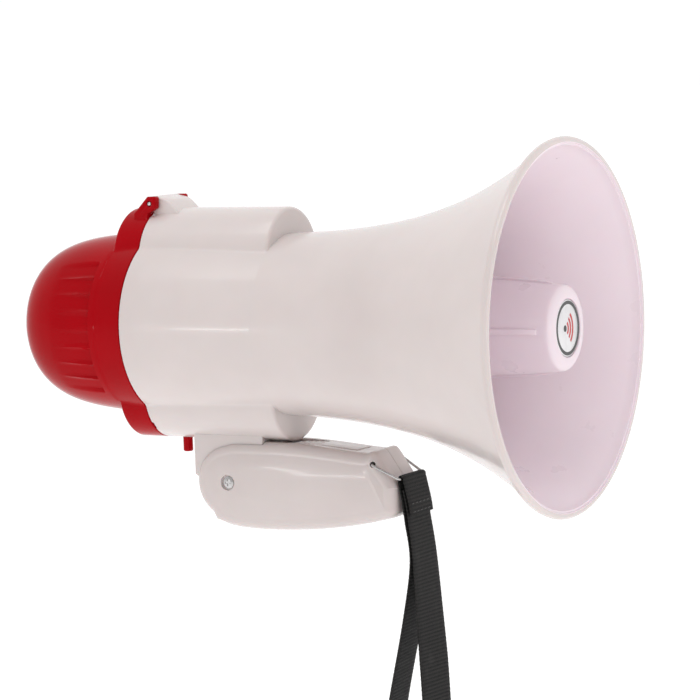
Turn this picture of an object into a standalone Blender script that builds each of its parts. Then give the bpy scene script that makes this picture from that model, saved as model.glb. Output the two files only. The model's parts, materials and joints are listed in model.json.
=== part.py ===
"""Handheld megaphone with a reflex horn, a folding pistol handle and a hinged rear cover.

Frame: +X runs along the horn towards its mouth, +Z is up, +Y is the megaphone's left side.
The origin is on the handle's pivot axis, half way between the handle's cheeks.
"""
import bpy
import bmesh
from math import asin, cos, degrees, exp, hypot, pi, radians, sin, sqrt
from mathutils import Matrix, Vector

MM = 0.001
GAP = 0.3 * MM                     # air between pieces that touch
OVER = 2.0 * MM                    # how far a cutter runs past what it cuts

# ---- horn ----
HORN_LENGTH = 128.0 * MM
MOUTH_RADIUS = 77.5 * MM
THROAT_RADIUS = 37.8 * MM          # radius that the flare tends to
FLARE_LENGTH = 100.0 * MM
HORN_WALL = 2.2 * MM
RIM_WIDTH = 2.6 * MM
RIM_DEPTH = 3.0 * MM
SPIGOT_LENGTH = 8.0 * MM

# ---- housing: a barrel with a half-round lobe above and below ----
HOUSING_LENGTH = 63.5 * MM
HOUSING_FRONT = 29.0 * MM          # X of the housing's front edge
BARREL_REAR_RADIUS = 40.1 * MM
BARREL_FRONT_RADIUS = 38.9 * MM
HOUSING_WALL = 2.2 * MM
LOBE_RADIUS = 22.4 * MM
LOBE_OFFSET = 27.6 * MM            # lobe centre from the horn axis

# ---- rear cover ----
COLLAR_LENGTH = 13.2 * MM          # the part of the cover that carries the lobes
DOME_LENGTH = 49.5 * MM
DOME_RADIUS = 39.2 * MM
DOME_SQUARENESS = 3.5
DOME_TAPER = 0.075
COVER_WALL = 2.2 * MM

# ---- cover hinge ----
PIN_RADIUS = 0.9 * MM
PIN_ABOVE_LOBE = 2.3 * MM
PIN_AHEAD_OF_SEAM = 0.7 * MM
KNUCKLE_RADIUS = 3.2 * MM
LUG_HALF_WIDTH = 9.7 * MM
EAR_THICKNESS = 3.4 * MM

# ---- reflector in the mouth ----
CUP_FRONT_RADIUS = 13.6 * MM
CUP_SHOULDER_RADIUS = 17.6 * MM
CUP_REAR_RADIUS = 22.6 * MM
CUP_SET_BACK = 0.9 * MM            # cup face behind the mouth plane
CUP_LENGTH = 84.0 * MM
CUP_WALL = 1.8 * MM
BADGE_RADIUS = 11.6 * MM
BADGE_THICKNESS = 0.7 * MM
FIN_THICKNESS = 2.4 * MM
TUBE_BORE = 7.5 * MM
TUBE_WALL = 1.8 * MM
FLANGE_THICKNESS = 2.5 * MM

# ---- driver ----
MAGNET_RADIUS = 26.0 * MM
MAGNET_THICKNESS = 10.0 * MM
PLATE_THICKNESS = 3.5 * MM
POLE_RADIUS = 9.0 * MM
DIAPHRAGM_RADIUS = 17.5 * MM
DRIVER_FRAME_RADIUS = 32.5 * MM

# ---- batteries: four C cells ----
CELL_RADIUS = 13.1 * MM
CELL_LENGTH = 48.5 * MM
CELL_CLEARANCE = 0.5 * MM          # cell to the tray's cross
TRAY_CROSS = 1.4 * MM              # thickness of the cross between the cells
CELL_FRONT = 2.0 * MM
NUB_RADIUS = 3.0 * MM
NUB_LENGTH = 1.5 * MM

# ---- handle ----
HANDLE_HALF_WIDTH = 13.0 * MM
HANDLE_REACH = 80.6 * MM           # pivot to the end face
HANDLE_TOP = 16.4 * MM             # top edge above the pivot
HANDLE_BELOW_LOBE = 1.1 * MM       # air between the folded handle and the housing
HANDLE_BELLY = 20.0 * MM           # lowest point below the pivot
CHEEK_RISE = 1.2 * MM              # the cheeks' upper edges above the hollow that clears the lobe
BUTT_RADIUS = 16.4 * MM
HANDLE_WALL = 2.2 * MM
HANDLE_EDGE = 4.0 * MM             # rounding between the side face and the outline
CHEEK_INNER = 11.2 * MM            # inner face of the fork that takes the bracket

# ---- bracket ----
BRACKET_HALF_WIDTH = 10.8 * MM
BRACKET_REAR = 17.4 * MM
BRACKET_FRONT = 16.8 * MM
BRACKET_CORNER = 2.9 * MM          # height of the lower rear corner
BRACKET_BOSS = 8.0 * MM
BOSS_START = 215                   # degrees, where the boss's round meets the bracket's rear slope
BUSH_RADIUS = 3.0 * MM
PIVOT_SCREW_RADIUS = 1.9 * MM

# ---- trigger ----
TRIGGER_REAR = 20.2 * MM
TRIGGER_PIVOT_X = 57.5 * MM
TRIGGER_HALF_WIDTH = 6.0 * MM
TRIGGER_PROUD = 0.6 * MM
TRIGGER_TRAVEL = 2.3 * MM
TRIGGER_PIN = 1.0 * MM

# ---- controls ----
BUTTON_RADIUS = 2.1 * MM
BUTTON_PROUD = 6.4 * MM
BUTTON_TRAVEL = 2.5 * MM
BUTTON_FROM_SEAM = 7.3 * MM
WHEEL_RADIUS = 8.6 * MM
WHEEL_THICKNESS = 3.0 * MM
WHEEL_IN_LOBE = 7.8 * MM           # wheel axis inside the lobe's widest point
WHEEL_BELOW_AXIS = 31.5 * MM

# ---- ring and wrist strap ----
RING_WIRE = 0.55 * MM
RING_HOLE_X = 70.8 * MM
RING_HOLE_Z = 10.4 * MM
RING_BAR_X = 82.5 * MM
RING_BAR_Z = 4.2 * MM
STRAP_WIDTH = 20.0 * MM
STRAP_THICKNESS = 1.2 * MM
STRAP_DROP = 150.0 * MM            # crossbar to the bottom of the loop
STRAP_SEWN = 17.0 * MM

ROUND = 40                         # sides of the large turned pieces
SMALL = 16                         # sides of the small ones

CELL_SPACING = CELL_RADIUS + CELL_CLEARANCE + TRAY_CROSS / 2    # cell axis from the horn axis, in Y and Z
LOBE_TOP = LOBE_OFFSET + LOBE_RADIUS
LOBE_BOTTOM_Z = HANDLE_TOP + HANDLE_BELOW_LOBE
AXIS_Z = LOBE_BOTTOM_Z + LOBE_TOP
MOUTH_X = HOUSING_FRONT + HORN_LENGTH
SEAM_X = HOUSING_FRONT - HOUSING_LENGTH
COLLAR_REAR_X = SEAM_X - COLLAR_LENGTH
APEX_X = COLLAR_REAR_X - DOME_LENGTH
PIN_X = SEAM_X + PIN_AHEAD_OF_SEAM
PIN_Z = AXIS_Z + LOBE_TOP + PIN_ABOVE_LOBE
WHEEL_SIDE = LOBE_RADIUS - WHEEL_IN_LOBE
CUP_FRONT_X = MOUTH_X - CUP_SET_BACK
CUP_REAR_X = CUP_FRONT_X - CUP_LENGTH
FLANGE_X = HOUSING_FRONT + 4.5 * MM

ON_AXIS = Matrix.Translation((0, 0, AXIS_Z))


def clear_scene():
    for old in list(bpy.data.objects):
        bpy.data.objects.remove(old, do_unlink=True)


def material(name, colour, roughness, metallic=0.0):
    found = bpy.data.materials.get(name)
    if found:
        return found
    made = bpy.data.materials.new(name)
    made.use_nodes = True
    shader = made.node_tree.nodes["Principled BSDF"]
    shader.inputs["Base Color"].default_value = (*colour, 1.0)
    shader.inputs["Roughness"].default_value = roughness
    shader.inputs["Metallic"].default_value = metallic
    made.diffuse_color = (*colour, 1.0)
    return made


def white_abs():
    return material("white_abs", (0.75, 0.70, 0.69), 0.28)


def red_abs():
    return material("red_abs", (0.40, 0.008, 0.02), 0.2)


def black_plastic():
    return material("black_plastic", (0.02, 0.02, 0.022), 0.5)


def steel():
    return material("steel", (0.6, 0.6, 0.62), 0.25, 1.0)


def brass():
    return material("brass", (0.72, 0.52, 0.2), 0.3, 1.0)


def ferrite():
    return material("ferrite", (0.05, 0.05, 0.055), 0.6)


def add_object(name, bm, finish, smooth=True):
    bmesh.ops.recalc_face_normals(bm, faces=bm.faces)
    mesh = bpy.data.meshes.new(name)
    bm.to_mesh(mesh)
    bm.free()
    if smooth:
        mesh.shade_smooth()
        mesh.set_sharp_from_angle(angle=radians(35))
    obj = bpy.data.objects.new(name, mesh)
    bpy.context.scene.collection.objects.link(obj)
    if finish:
        mesh.materials.append(finish)
    return obj


def as_tool(obj):
    obj.hide_render = True
    obj.display_type = "WIRE"
    return obj


def boolean(obj, operation, others):
    for other in others:
        step = obj.modifiers.new(operation.lower(), "BOOLEAN")
        step.operation = operation
        step.solver = "EXACT"
        step.object = as_tool(other)
    return obj


def cut(obj, *cutters):
    return boolean(obj, "DIFFERENCE", cutters)


def join(obj, *pieces):
    return boolean(obj, "UNION", pieces)


def turned(name, profile, finish, place=ON_AXIS, sides=ROUND):
    """Revolves a closed profile of (x, radius) points about the X axis of place."""
    bm = bmesh.new()
    rings = []
    for x, radius in profile:
        if radius < 1e-7:
            rings.append((x, None))
            continue
        ring_verts = []
        for i in range(sides):
            turn = 2 * pi * (i + 0.5) / sides
            ring_verts.append(bm.verts.new((x, radius * cos(turn), radius * sin(turn))))
        rings.append((x, ring_verts))
    for (x1, first), (x2, second) in zip(rings, rings[1:] + rings[:1]):
        if first and second:
            for i in range(sides):
                after = (i + 1) % sides
                bm.faces.new((first[i], first[after], second[after], second[i]))
        elif first or second:
            rim = first or second
            if abs(x1 - x2) < 1e-7:
                bm.faces.new(rim)
                continue
            tip = bm.verts.new((x2 if first else x1, 0, 0))
            for i in range(sides):
                bm.faces.new((rim[i], rim[(i + 1) % sides], tip))
    bm.transform(place)
    return add_object(name, bm, finish)


def rod(name, start, end, radius, finish=None, sides=SMALL):
    """A straight round bar between two points."""
    start, end = Vector(start), Vector(end)
    direction = end - start
    place = Matrix.Translation(start) @ direction.to_track_quat("X", "Z").to_matrix().to_4x4()
    profile = [(0, 0), (0, radius), (direction.length, radius), (direction.length, 0)]
    return turned(name, profile[::-1], finish, place, sides)


def extruded(name, outline, low, high, finish=None, axis="Y"):
    """Extrudes a closed outline: (x, z) points along Y, or (y, z) points along X."""
    bm = bmesh.new()
    if axis == "Y":
        verts = [bm.verts.new((x, low, z)) for x, z in outline]
        step = (0, high - low, 0)
    else:
        verts = [bm.verts.new((low, y, z)) for y, z in outline]
        step = (high - low, 0, 0)
    face = bm.faces.new(verts)
    grown = bmesh.ops.extrude_face_region(bm, geom=[face])
    moved = [item for item in grown["geom"] if isinstance(item, bmesh.types.BMVert)]
    bmesh.ops.translate(bm, verts=moved, vec=step)
    return add_object(name, bm, finish)


def block(name, low, high, finish=None):
    outline = [(low[0], low[2]), (high[0], low[2]), (high[0], high[2]), (low[0], high[2])]
    return extruded(name, outline, low[1], high[1], finish)


def arc(centre, radius, start, end, steps):
    """Points on an arc, in degrees, both ends included."""
    points = []
    for i in range(steps + 1):
        turn = radians(start + (end - start) * i / steps)
        points.append((centre[0] + radius * cos(turn), centre[1] + radius * sin(turn)))
    return points


def smooth_line(points, steps):
    """A Catmull-Rom curve through the points, without its last one."""
    ends = [points[0]] + list(points) + [points[-1]]
    line = []
    for a, b, c, d in zip(ends, ends[1:], ends[2:], ends[3:]):
        for i in range(steps):
            t = i / steps
            weights = (-t + 2 * t * t - t ** 3, 2 - 5 * t * t + 3 * t ** 3,
                       t + 4 * t * t - 3 * t ** 3, -t * t + t ** 3)
            line.append(tuple(sum(w * p[k] for w, p in zip(weights, (a, b, c, d))) / 2
                              for k in range(len(b))))
    return line


def offset(outline, distance):
    """Moves a closed anticlockwise outline inwards, closing up the corners that are used up."""
    moved = []
    for before, here, after in zip(outline[-1:] + outline[:-1], outline, outline[1:] + outline[:1]):
        ax, az = here[0] - before[0], here[1] - before[1]
        bx, bz = after[0] - here[0], after[1] - here[1]
        la, lb = hypot(ax, az), hypot(bx, bz)
        nx, nz = -az / la - bz / lb, ax / la + bx / lb
        size = hypot(nx, nz)
        nx, nz = nx / size, nz / size
        stretch = max(0.5, -az / la * nx + ax / la * nz)
        moved.append((here[0] + nx * distance / stretch, here[1] + nz * distance / stretch))
    count = len(outline)
    for _ in range(6):
        groups = list(range(count))
        for i in range(count):
            j = (i + 1) % count
            old_x, old_z = outline[j][0] - outline[i][0], outline[j][1] - outline[i][1]
            new_x, new_z = moved[j][0] - moved[i][0], moved[j][1] - moved[i][1]
            if old_x * new_x + old_z * new_z < 0 or hypot(new_x, new_z) < 1e-7:
                groups = [groups[i] if g == groups[j] else g for g in groups]
        for group in set(groups):
            members = [i for i in range(count) if groups[i] == group]
            if len(members) > 1:
                middle = tuple(sum(moved[i][k] for i in members) / len(members) for k in (0, 1))
                for i in members:
                    moved[i] = middle
    return moved


def wire(name, points, radius, finish, closed=False, sides=2):
    """A round wire along the points."""
    curve = bpy.data.curves.new(name, "CURVE")
    curve.dimensions = "3D"
    curve.bevel_depth = radius
    curve.bevel_resolution = sides
    curve.use_fill_caps = not closed
    spline = curve.splines.new("POLY")
    spline.points.add(len(points) - 1)
    for slot, point in zip(spline.points, points):
        slot.co = (*point, 1.0)
    spline.use_cyclic_u = closed
    curve.materials.append(finish)
    obj = bpy.data.objects.new(name, curve)
    bpy.context.scene.collection.objects.link(obj)
    return obj


def coil(name, centre, direction, radius, wire_radius, length, turns, finish):
    """A compression spring that starts at centre and runs along direction."""
    turn_to = Vector(direction).to_track_quat("Z", "Y")
    points = []
    steps = turns * 8
    for i in range(steps + 1):
        angle = 2 * pi * turns * i / steps
        local = Vector((radius * cos(angle), radius * sin(angle), length * i / steps))
        points.append(Vector(centre) + turn_to @ local)
    return wire(name, points, wire_radius, finish, sides=1)


# ---- horn and reflector ----

def horn_radius(behind_mouth):
    u = behind_mouth / FLARE_LENGTH
    return THROAT_RADIUS + (MOUTH_RADIUS - THROAT_RADIUS) * exp(-1.85 * u - 0.9 * u * u)


def horn_bell():
    steps = 10
    lip_step = 0.8 * MM
    outer = []
    inner = []
    for i in range(steps + 1):
        behind = RIM_DEPTH + (HORN_LENGTH - RIM_DEPTH) * (i / steps) ** 1.15
        outer.append((MOUTH_X - behind, horn_radius(behind)))
        inner.append((MOUTH_X - behind, horn_radius(behind) - HORN_WALL))
    inner_lip = MOUTH_RADIUS - RIM_WIDTH
    lip = [(MOUTH_X - RIM_DEPTH, MOUTH_RADIUS - 0.3 * MM), (MOUTH_X - 0.6 * MM, MOUTH_RADIUS),
           (MOUTH_X, MOUTH_RADIUS - 0.6 * MM), (MOUTH_X, inner_lip),
           (MOUTH_X - lip_step, inner_lip - 0.2 * MM), (MOUTH_X - lip_step, inner_lip - 0.8 * MM)]
    spigot_outer = spigot_radius()
    spigot_inner = inner[-1][1]
    spigot_x = HOUSING_FRONT - SPIGOT_LENGTH
    rear = HOUSING_FRONT + GAP
    outer[-1] = (rear, outer[-1][1])
    spigot = [(spigot_x, spigot_inner), (spigot_x, spigot_outer), (rear, spigot_outer)]
    profile = inner + spigot + outer[::-1] + lip
    return turned("horn_bell", profile, white_abs(), sides=48)


def spigot_bore():
    return BARREL_FRONT_RADIUS - HOUSING_WALL - 0.15 * MM


def spigot_radius():
    return spigot_bore() - GAP


def cup_radius(x):
    share = (CUP_FRONT_X - 3.0 * MM - x) / (CUP_LENGTH - 3.0 * MM)
    return CUP_SHOULDER_RADIUS + (CUP_REAR_RADIUS - CUP_SHOULDER_RADIUS) * share ** 0.8


def reflector_cup():
    shoulder = CUP_SHOULDER_RADIUS - CUP_FRONT_RADIUS
    front = CUP_FRONT_X
    recess = BADGE_THICKNESS + 0.4 * MM
    nose_wall = 3.0 * MM
    outer = [(front - shoulder * 0.8 * (1 - cos(radians(a))), CUP_FRONT_RADIUS + shoulder * sin(radians(a)))
             for a in (0, 25, 50, 75)]
    stations = [front - 3.5 * MM - (CUP_LENGTH - 3.5 * MM) * i / 6 for i in range(7)]
    outer += [(x, cup_radius(x)) for x in stations]
    inner = [(x, cup_radius(x) - CUP_WALL) for x in stations[::-1][:-1]]
    nose = front - recess - nose_wall
    inner += [(nose - 3.0 * MM, CUP_SHOULDER_RADIUS - CUP_WALL), (nose, CUP_SHOULDER_RADIUS - 4.0 * MM)]
    screw_hole = 1.8 * MM
    sink = 4.2 * MM
    face = [(nose, screw_hole), (front - recess - 1.6 * MM, screw_hole), (front - recess - 1.6 * MM, sink),
            (front - recess, sink), (front - recess, BADGE_RADIUS + GAP), (front, BADGE_RADIUS + GAP)]
    cup = turned("reflector_cup", outer + inner + face, white_abs())
    for number, turn in enumerate((0, 90, 180, 270)):
        join(cup, rib(number, turn), fin(number, turn))
    return cup


def about_axis(turn):
    return ON_AXIS @ Matrix.Rotation(radians(turn), 4, "X")


def rib(number, turn):
    """A low moulded ridge along the cup."""
    front = CUP_FRONT_X - 6.0 * MM
    rear = CUP_REAR_X + 6.0 * MM
    inside = cup_radius(front) - 1.0 * MM
    outline = [(rear, inside), (front, inside), (front, cup_radius(front) + 0.3 * MM),
               (front - 3.0 * MM, cup_radius(front) + 0.9 * MM), (rear, cup_radius(rear) + 0.9 * MM)]
    piece = extruded("rib_%d" % number, outline, -1.25 * MM, 1.25 * MM)
    piece.data.transform(about_axis(turn))
    return piece


def fin(number, turn):
    """A web that holds the cup inside the horn's neck."""
    front = CUP_REAR_X + 16.0 * MM
    rear = CUP_REAR_X
    reach_front = horn_radius(MOUTH_X - front) - HORN_WALL - GAP
    reach_rear = horn_radius(MOUTH_X - rear) - HORN_WALL - GAP
    inside = cup_radius(front) - 1.2 * MM
    outline = [(rear + 0.4 * MM, inside), (front + 9.0 * MM, inside), (front, reach_front),
               (rear + 0.4 * MM, reach_rear)]
    piece = extruded("fin_%d" % number, outline, -FIN_THICKNESS / 2, FIN_THICKNESS / 2)
    piece.data.transform(about_axis(turn))
    return piece


def tube_front():
    return CUP_FRONT_X - 22.0 * MM


def throat_tube():
    """The tube that carries the sound forward into the reflector, with its flange and its spider."""
    rear = FLANGE_X
    front = tube_front()
    flange = horn_radius(MOUTH_X - FLANGE_X) - HORN_WALL - 2 * GAP
    wide = TUBE_BORE + 3.0 * MM
    outer = [(rear, flange), (rear + FLANGE_THICKNESS, flange),
             (rear + FLANGE_THICKNESS, TUBE_BORE + TUBE_WALL),
             (front, wide + TUBE_WALL)]
    profile = outer + [(front, wide), (rear, TUBE_BORE)]
    tube = turned("throat_tube", profile[::-1], white_abs(), sides=32)
    depth = 8.0 * MM
    arms = []
    for number, turn in enumerate((0, 90)):
        half = wide + TUBE_WALL * 0.6
        arm = extruded("arm_%d" % number, [(front - depth, -half), (front - 0.5 * MM, -half),
                                           (front - 0.5 * MM, half), (front - depth, half)],
                       -0.9 * MM, 0.9 * MM)
        arm.data.transform(about_axis(turn))
        arms.append(arm)
    boss = rod("tube_boss", (front - depth - 1.0 * MM, 0, AXIS_Z), (boss_front(), 0, AXIS_Z), 3.4 * MM)
    hole = rod("tube_screw_hole", (front - depth - OVER, 0, AXIS_Z), (boss_front() + OVER, 0, AXIS_Z),
               1.8 * MM)
    join(tube, *arms, boss)
    return cut(tube, hole)


def boss_front():
    return CUP_FRONT_X - BADGE_THICKNESS - 0.4 * MM - 3.0 * MM - GAP


def reflector_screw():
    """The screw under the badge, which ties the reflector to the tube."""
    head_x = CUP_FRONT_X - BADGE_THICKNESS - 0.4 * MM - GAP
    head = 1.2 * MM
    rear = tube_front() - 8.0 * MM
    profile = [(rear, 0), (rear, 1.5 * MM), (head_x - head, 1.5 * MM), (head_x - head, 3.4 * MM),
               (head_x, 3.0 * MM), (head_x, 0)]
    return turned("reflector_screw", profile[::-1], steel(), sides=SMALL)


def badge_plate():
    rear = CUP_FRONT_X - BADGE_THICKNESS - 0.4 * MM + GAP / 2
    profile = [(rear, 0), (rear, BADGE_RADIUS), (rear + BADGE_THICKNESS * 0.7, BADGE_RADIUS),
               (rear + BADGE_THICKNESS, BADGE_RADIUS - 0.4 * MM), (rear + BADGE_THICKNESS, 0)]
    return turned("badge_plate", profile[::-1], material("badge_lacquer", (0.6, 0.6, 0.62), 0.25, 0.4),
                  sides=40)


# ---- driver ----

def driver():
    frame_front = FLANGE_X - GAP
    frame_rear = frame_front - 2.5 * MM
    plate_rear = frame_rear - GAP - PLATE_THICKNESS
    magnet_front = plate_rear - GAP
    magnet_rear = magnet_front - MAGNET_THICKNESS
    yoke_front = magnet_rear - GAP
    yoke_rear = yoke_front - PLATE_THICKNESS
    ring_gap = POLE_RADIUS + 2.4 * MM

    frame = turned("driver_frame", ring(frame_rear, frame_front, DIAPHRAGM_RADIUS + 1.0 * MM,
                                        DRIVER_FRAME_RADIUS),
                   black_plastic())
    turned("driver_top_plate", ring(plate_rear, frame_rear - GAP, ring_gap, MAGNET_RADIUS - 1.0 * MM),
           steel())
    turned("driver_magnet", ring(magnet_rear, magnet_front, ring_gap + 3.0 * MM, MAGNET_RADIUS), ferrite())
    pole_front = frame_rear - GAP
    yoke = [(yoke_rear, 0), (yoke_rear, MAGNET_RADIUS - 1.0 * MM), (yoke_front, MAGNET_RADIUS - 1.0 * MM),
            (yoke_front, POLE_RADIUS), (pole_front, POLE_RADIUS), (pole_front, 0)]
    turned("driver_yoke", yoke[::-1], steel())
    coil_inner = POLE_RADIUS + 0.7 * MM
    coil_outer = ring_gap - 0.7 * MM
    turned("voice_coil", ring(plate_rear + 0.6 * MM, frame_rear + 0.2 * MM, coil_inner, coil_outer),
           brass(), sides=32)
    diaphragm(frame_rear + 0.2 * MM + GAP, coil_outer)
    reach = frame_rear - 1.6 * MM
    for number in range(3):
        turn = radians(90 + 120 * number)
        y = (DRIVER_FRAME_RADIUS - 3.0 * MM) * cos(turn)
        z = AXIS_Z + (DRIVER_FRAME_RADIUS - 3.0 * MM) * sin(turn)
        cut(frame, rod("frame_hole_%d" % number, (frame_rear - OVER, y, z), (frame_front + OVER, y, z),
                       1.5 * MM))
        cut(bpy.data.objects["throat_tube"],
            rod("flange_hole_%d" % number, (FLANGE_X - OVER, y, z),
                (FLANGE_X + FLANGE_THICKNESS + OVER, y, z), 1.5 * MM))
        place = Matrix.Translation((0, y, z))
        screw = [(reach, 0), (reach, 2.4 * MM), (frame_rear - GAP, 2.4 * MM), (frame_rear - GAP, 1.1 * MM),
                 (FLANGE_X + FLANGE_THICKNESS + 0.4 * MM, 1.1 * MM),
                 (FLANGE_X + FLANGE_THICKNESS + 0.4 * MM, 0)]
        turned("driver_screw_%d" % (number + 1), screw[::-1], steel(), place, sides=12)


def ring(low, high, inner, outer):
    return [(low, inner), (high, inner), (high, outer), (low, outer)]


def diaphragm(rear, crown_radius):
    """A thin dome with a flat surround, between the pole and the throat."""
    skin = 0.5 * MM
    rise = 1.3 * MM
    edge = DIAPHRAGM_RADIUS
    front = [(rear + rise, 0), (rear + rise * 0.8, crown_radius * 0.5), (rear, crown_radius), (rear, edge)]
    back = [(x + skin, r) for x, r in front[::-1]]
    turned("driver_diaphragm", front + back, material("mylar", (0.5, 0.35, 0.12), 0.3), sides=32)


# ---- housing ----

def section(barrel_radius, lobe_radius):
    """The barrel with its two lobes in cross-section, as (y, z) points anticlockwise from +Y."""
    meet_z = (barrel_radius ** 2 - lobe_radius ** 2 + LOBE_OFFSET ** 2) / (2 * LOBE_OFFSET)
    on_barrel = degrees(asin(meet_z / barrel_radius))
    on_lobe = degrees(asin((meet_z - LOBE_OFFSET) / lobe_radius))
    points = arc((0, AXIS_Z), barrel_radius, -on_barrel, on_barrel, 10)
    points += arc((0, AXIS_Z + LOBE_OFFSET), lobe_radius, on_lobe, 180 - on_lobe, 16)[1:]
    points += arc((0, AXIS_Z), barrel_radius, 180 - on_barrel, 180 + on_barrel, 10)[1:]
    points += arc((0, AXIS_Z - LOBE_OFFSET), lobe_radius, 180 + on_lobe, 360 - on_lobe, 16)[1:-1]
    return points


def lofted(name, stations, finish=None):
    """A solid through cross-sections with equal point counts, given as (x, outline)."""
    bm = bmesh.new()
    loops = [[bm.verts.new((x, y, z)) for y, z in outline] for x, outline in stations]
    count = len(loops[0])
    for first, second in zip(loops, loops[1:]):
        for i in range(count):
            after = (i + 1) % count
            bm.faces.new((first[i], first[after], second[after], second[i]))
    bm.faces.new(loops[0])
    bm.faces.new(loops[-1])
    return add_object(name, bm, finish)


def cone(name, rear, front, rear_radius, front_radius, finish=None):
    return turned(name, [(rear, 0), (rear, rear_radius), (front, front_radius), (front, 0)][::-1], finish)


def housing_shell():
    wall = HOUSING_WALL
    shell = lofted("housing_shell", [(SEAM_X, section(BARREL_REAR_RADIUS, LOBE_RADIUS)),
                                     (HOUSING_FRONT, section(BARREL_FRONT_RADIUS, LOBE_RADIUS))],
                                     white_abs())
    join(shell, hinge_lug())
    hollow = lofted("housing_hollow",
                    [(SEAM_X - OVER, section(BARREL_REAR_RADIUS - wall, LOBE_RADIUS - wall)),
                                       (HOUSING_FRONT - wall,
                                        section(BARREL_FRONT_RADIUS - wall, LOBE_RADIUS - wall))])
    bore = cone("housing_bore", HOUSING_FRONT - wall - OVER, HOUSING_FRONT + OVER, spigot_bore(),
                spigot_bore())
    cut(shell, hollow, bore)
    pin_hole = rod("lug_pin_hole", (PIN_X, -LUG_HALF_WIDTH - OVER, PIN_Z),
                   (PIN_X, LUG_HALF_WIDTH + OVER, PIN_Z),
                   PIN_RADIUS + GAP)
    button_hole = rod("button_hole", (button_x(), 0, LOBE_BOTTOM_Z - OVER),
                      (button_x(), 0, LOBE_BOTTOM_Z + wall + OVER),
                      BUTTON_RADIUS + GAP)
    half = WHEEL_THICKNESS / 2 + 0.4 * MM
    wheel_z = AXIS_Z - WHEEL_BELOW_AXIS
    wheel_slot = rod("wheel_slot", (wheel_x() - half, WHEEL_SIDE, wheel_z),
                     (wheel_x() + half, WHEEL_SIDE, wheel_z),
                     WHEEL_RADIUS + 2 * GAP, sides=40)
    cut(shell, pin_hole, button_hole, wheel_slot)
    for number, x in enumerate(bracket_screw_places()):
        cut(shell, rod("wall_hole_%d" % number, (x, 0, LOBE_BOTTOM_Z - OVER),
                       (x, 0, LOBE_BOTTOM_Z + wall + OVER),
                       1.25 * MM + GAP))
    return shell


def wheel_x():
    return HOUSING_FRONT - 20.5 * MM


def button_x():
    return SEAM_X + BUTTON_FROM_SEAM


def bracket_screw_places():
    return (-11.0 * MM, 10.5 * MM)


def hinge_lug():
    """The block on top of the housing that carries the hinge pin."""
    foot = AXIS_Z + LOBE_TOP - 5.0 * MM
    front = PIN_X + 12.0 * MM
    outline = arc((PIN_X, PIN_Z), KNUCKLE_RADIUS, 180, 62, 6)
    outline += [(PIN_X + 6.2 * MM, PIN_Z + 1.8 * MM), (front - 1.6 * MM, AXIS_Z + LOBE_TOP + 0.8 * MM),
                (front, foot)]
    outline += [(SEAM_X + GAP, foot), (SEAM_X + GAP, PIN_Z - KNUCKLE_RADIUS)]
    lug = extruded("hinge_lug", outline[::-1], -LUG_HALF_WIDTH, LUG_HALF_WIDTH)
    soften(lug, 0.9 * MM, 2)
    return lug


def soften(obj, width, segments, angle=50):
    bevel = obj.modifiers.new("soften", "BEVEL")
    bevel.width = width
    bevel.segments = segments
    bevel.limit_method = "ANGLE"
    bevel.angle_limit = radians(angle)
    return obj


# ---- rear cover ----

def dome_radius(behind, wall=0.0):
    """Outer radius of the dome at a distance behind the collar, or of its inside with a wall."""
    length = DOME_LENGTH - wall
    share = min(max(behind, 0) / length, 1.0)
    radius = DOME_RADIUS - wall - DOME_TAPER * max(behind, 0)
    return radius * max(1 - share ** DOME_SQUARENESS, 0) ** (1 / DOME_SQUARENESS)


def dome_profile(front, front_radius, wall):
    shares = (0, 0.3, 0.55, 0.72, 0.84, 0.93, 0.98, 1.0)
    length = DOME_LENGTH - wall
    points = [(front, 0), (front, front_radius)]
    points += [(COLLAR_REAR_X - length * s, dome_radius(length * s, wall)) for s in shares]
    return points


def collar(name, front, rear, wall, finish=None):
    """The part of the cover that follows the housing's barrel and lobes."""
    ledge = 0.3 * MM
    return lofted(name, [(rear, section(DOME_RADIUS + ledge - wall, LOBE_RADIUS - wall)),
                         (front, section(BARREL_REAR_RADIUS - wall, LOBE_RADIUS - wall))], finish)


def rear_cover():
    front = SEAM_X - GAP
    wall = COVER_WALL
    cover = collar("rear_cover", front, COLLAR_REAR_X, 0.0, red_abs())
    overlap = 4.0 * MM
    join(cover, turned("dome", dome_profile(COLLAR_REAR_X + overlap, DOME_RADIUS - 1.0 * MM, 0.0), None))
    for side, word in ((-1, "near"), (1, "far")):
        join(cover, hinge_ear(side, word))
    cut(cover, collar("collar_hollow", front + OVER, COLLAR_REAR_X + wall, wall),
        turned("dome_hollow", dome_profile(COLLAR_REAR_X + wall + overlap, DOME_RADIUS - wall - 1.0 * MM,
                                           wall), None))
    knuckle = rod("knuckle_clearance", (PIN_X, -LUG_HALF_WIDTH - GAP, PIN_Z),
                  (PIN_X, LUG_HALF_WIDTH + GAP, PIN_Z),
                  KNUCKLE_RADIUS + 2 * GAP, sides=24)
    width = LUG_HALF_WIDTH + EAR_THICKNESS + OVER
    pin_hole = rod("ear_pin_hole", (PIN_X, -width, PIN_Z), (PIN_X, width, PIN_Z), PIN_RADIUS + GAP)
    cut(cover, knuckle, pin_hole)
    for number, (y, z) in enumerate(mic_holes()):
        cut(cover, rod("mic_hole_%d" % number, (APEX_X - OVER, y, AXIS_Z + z),
                       (APEX_X + wall + OVER, y, AXIS_Z + z),
                       0.9 * MM, sides=8))
    return cover


def mic_holes():
    """One hole in the middle and six around it."""
    places = [(0, 0)]
    places += [(3.4 * MM * cos(i * pi / 3), 3.4 * MM * sin(i * pi / 3)) for i in range(6)]
    return places


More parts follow.
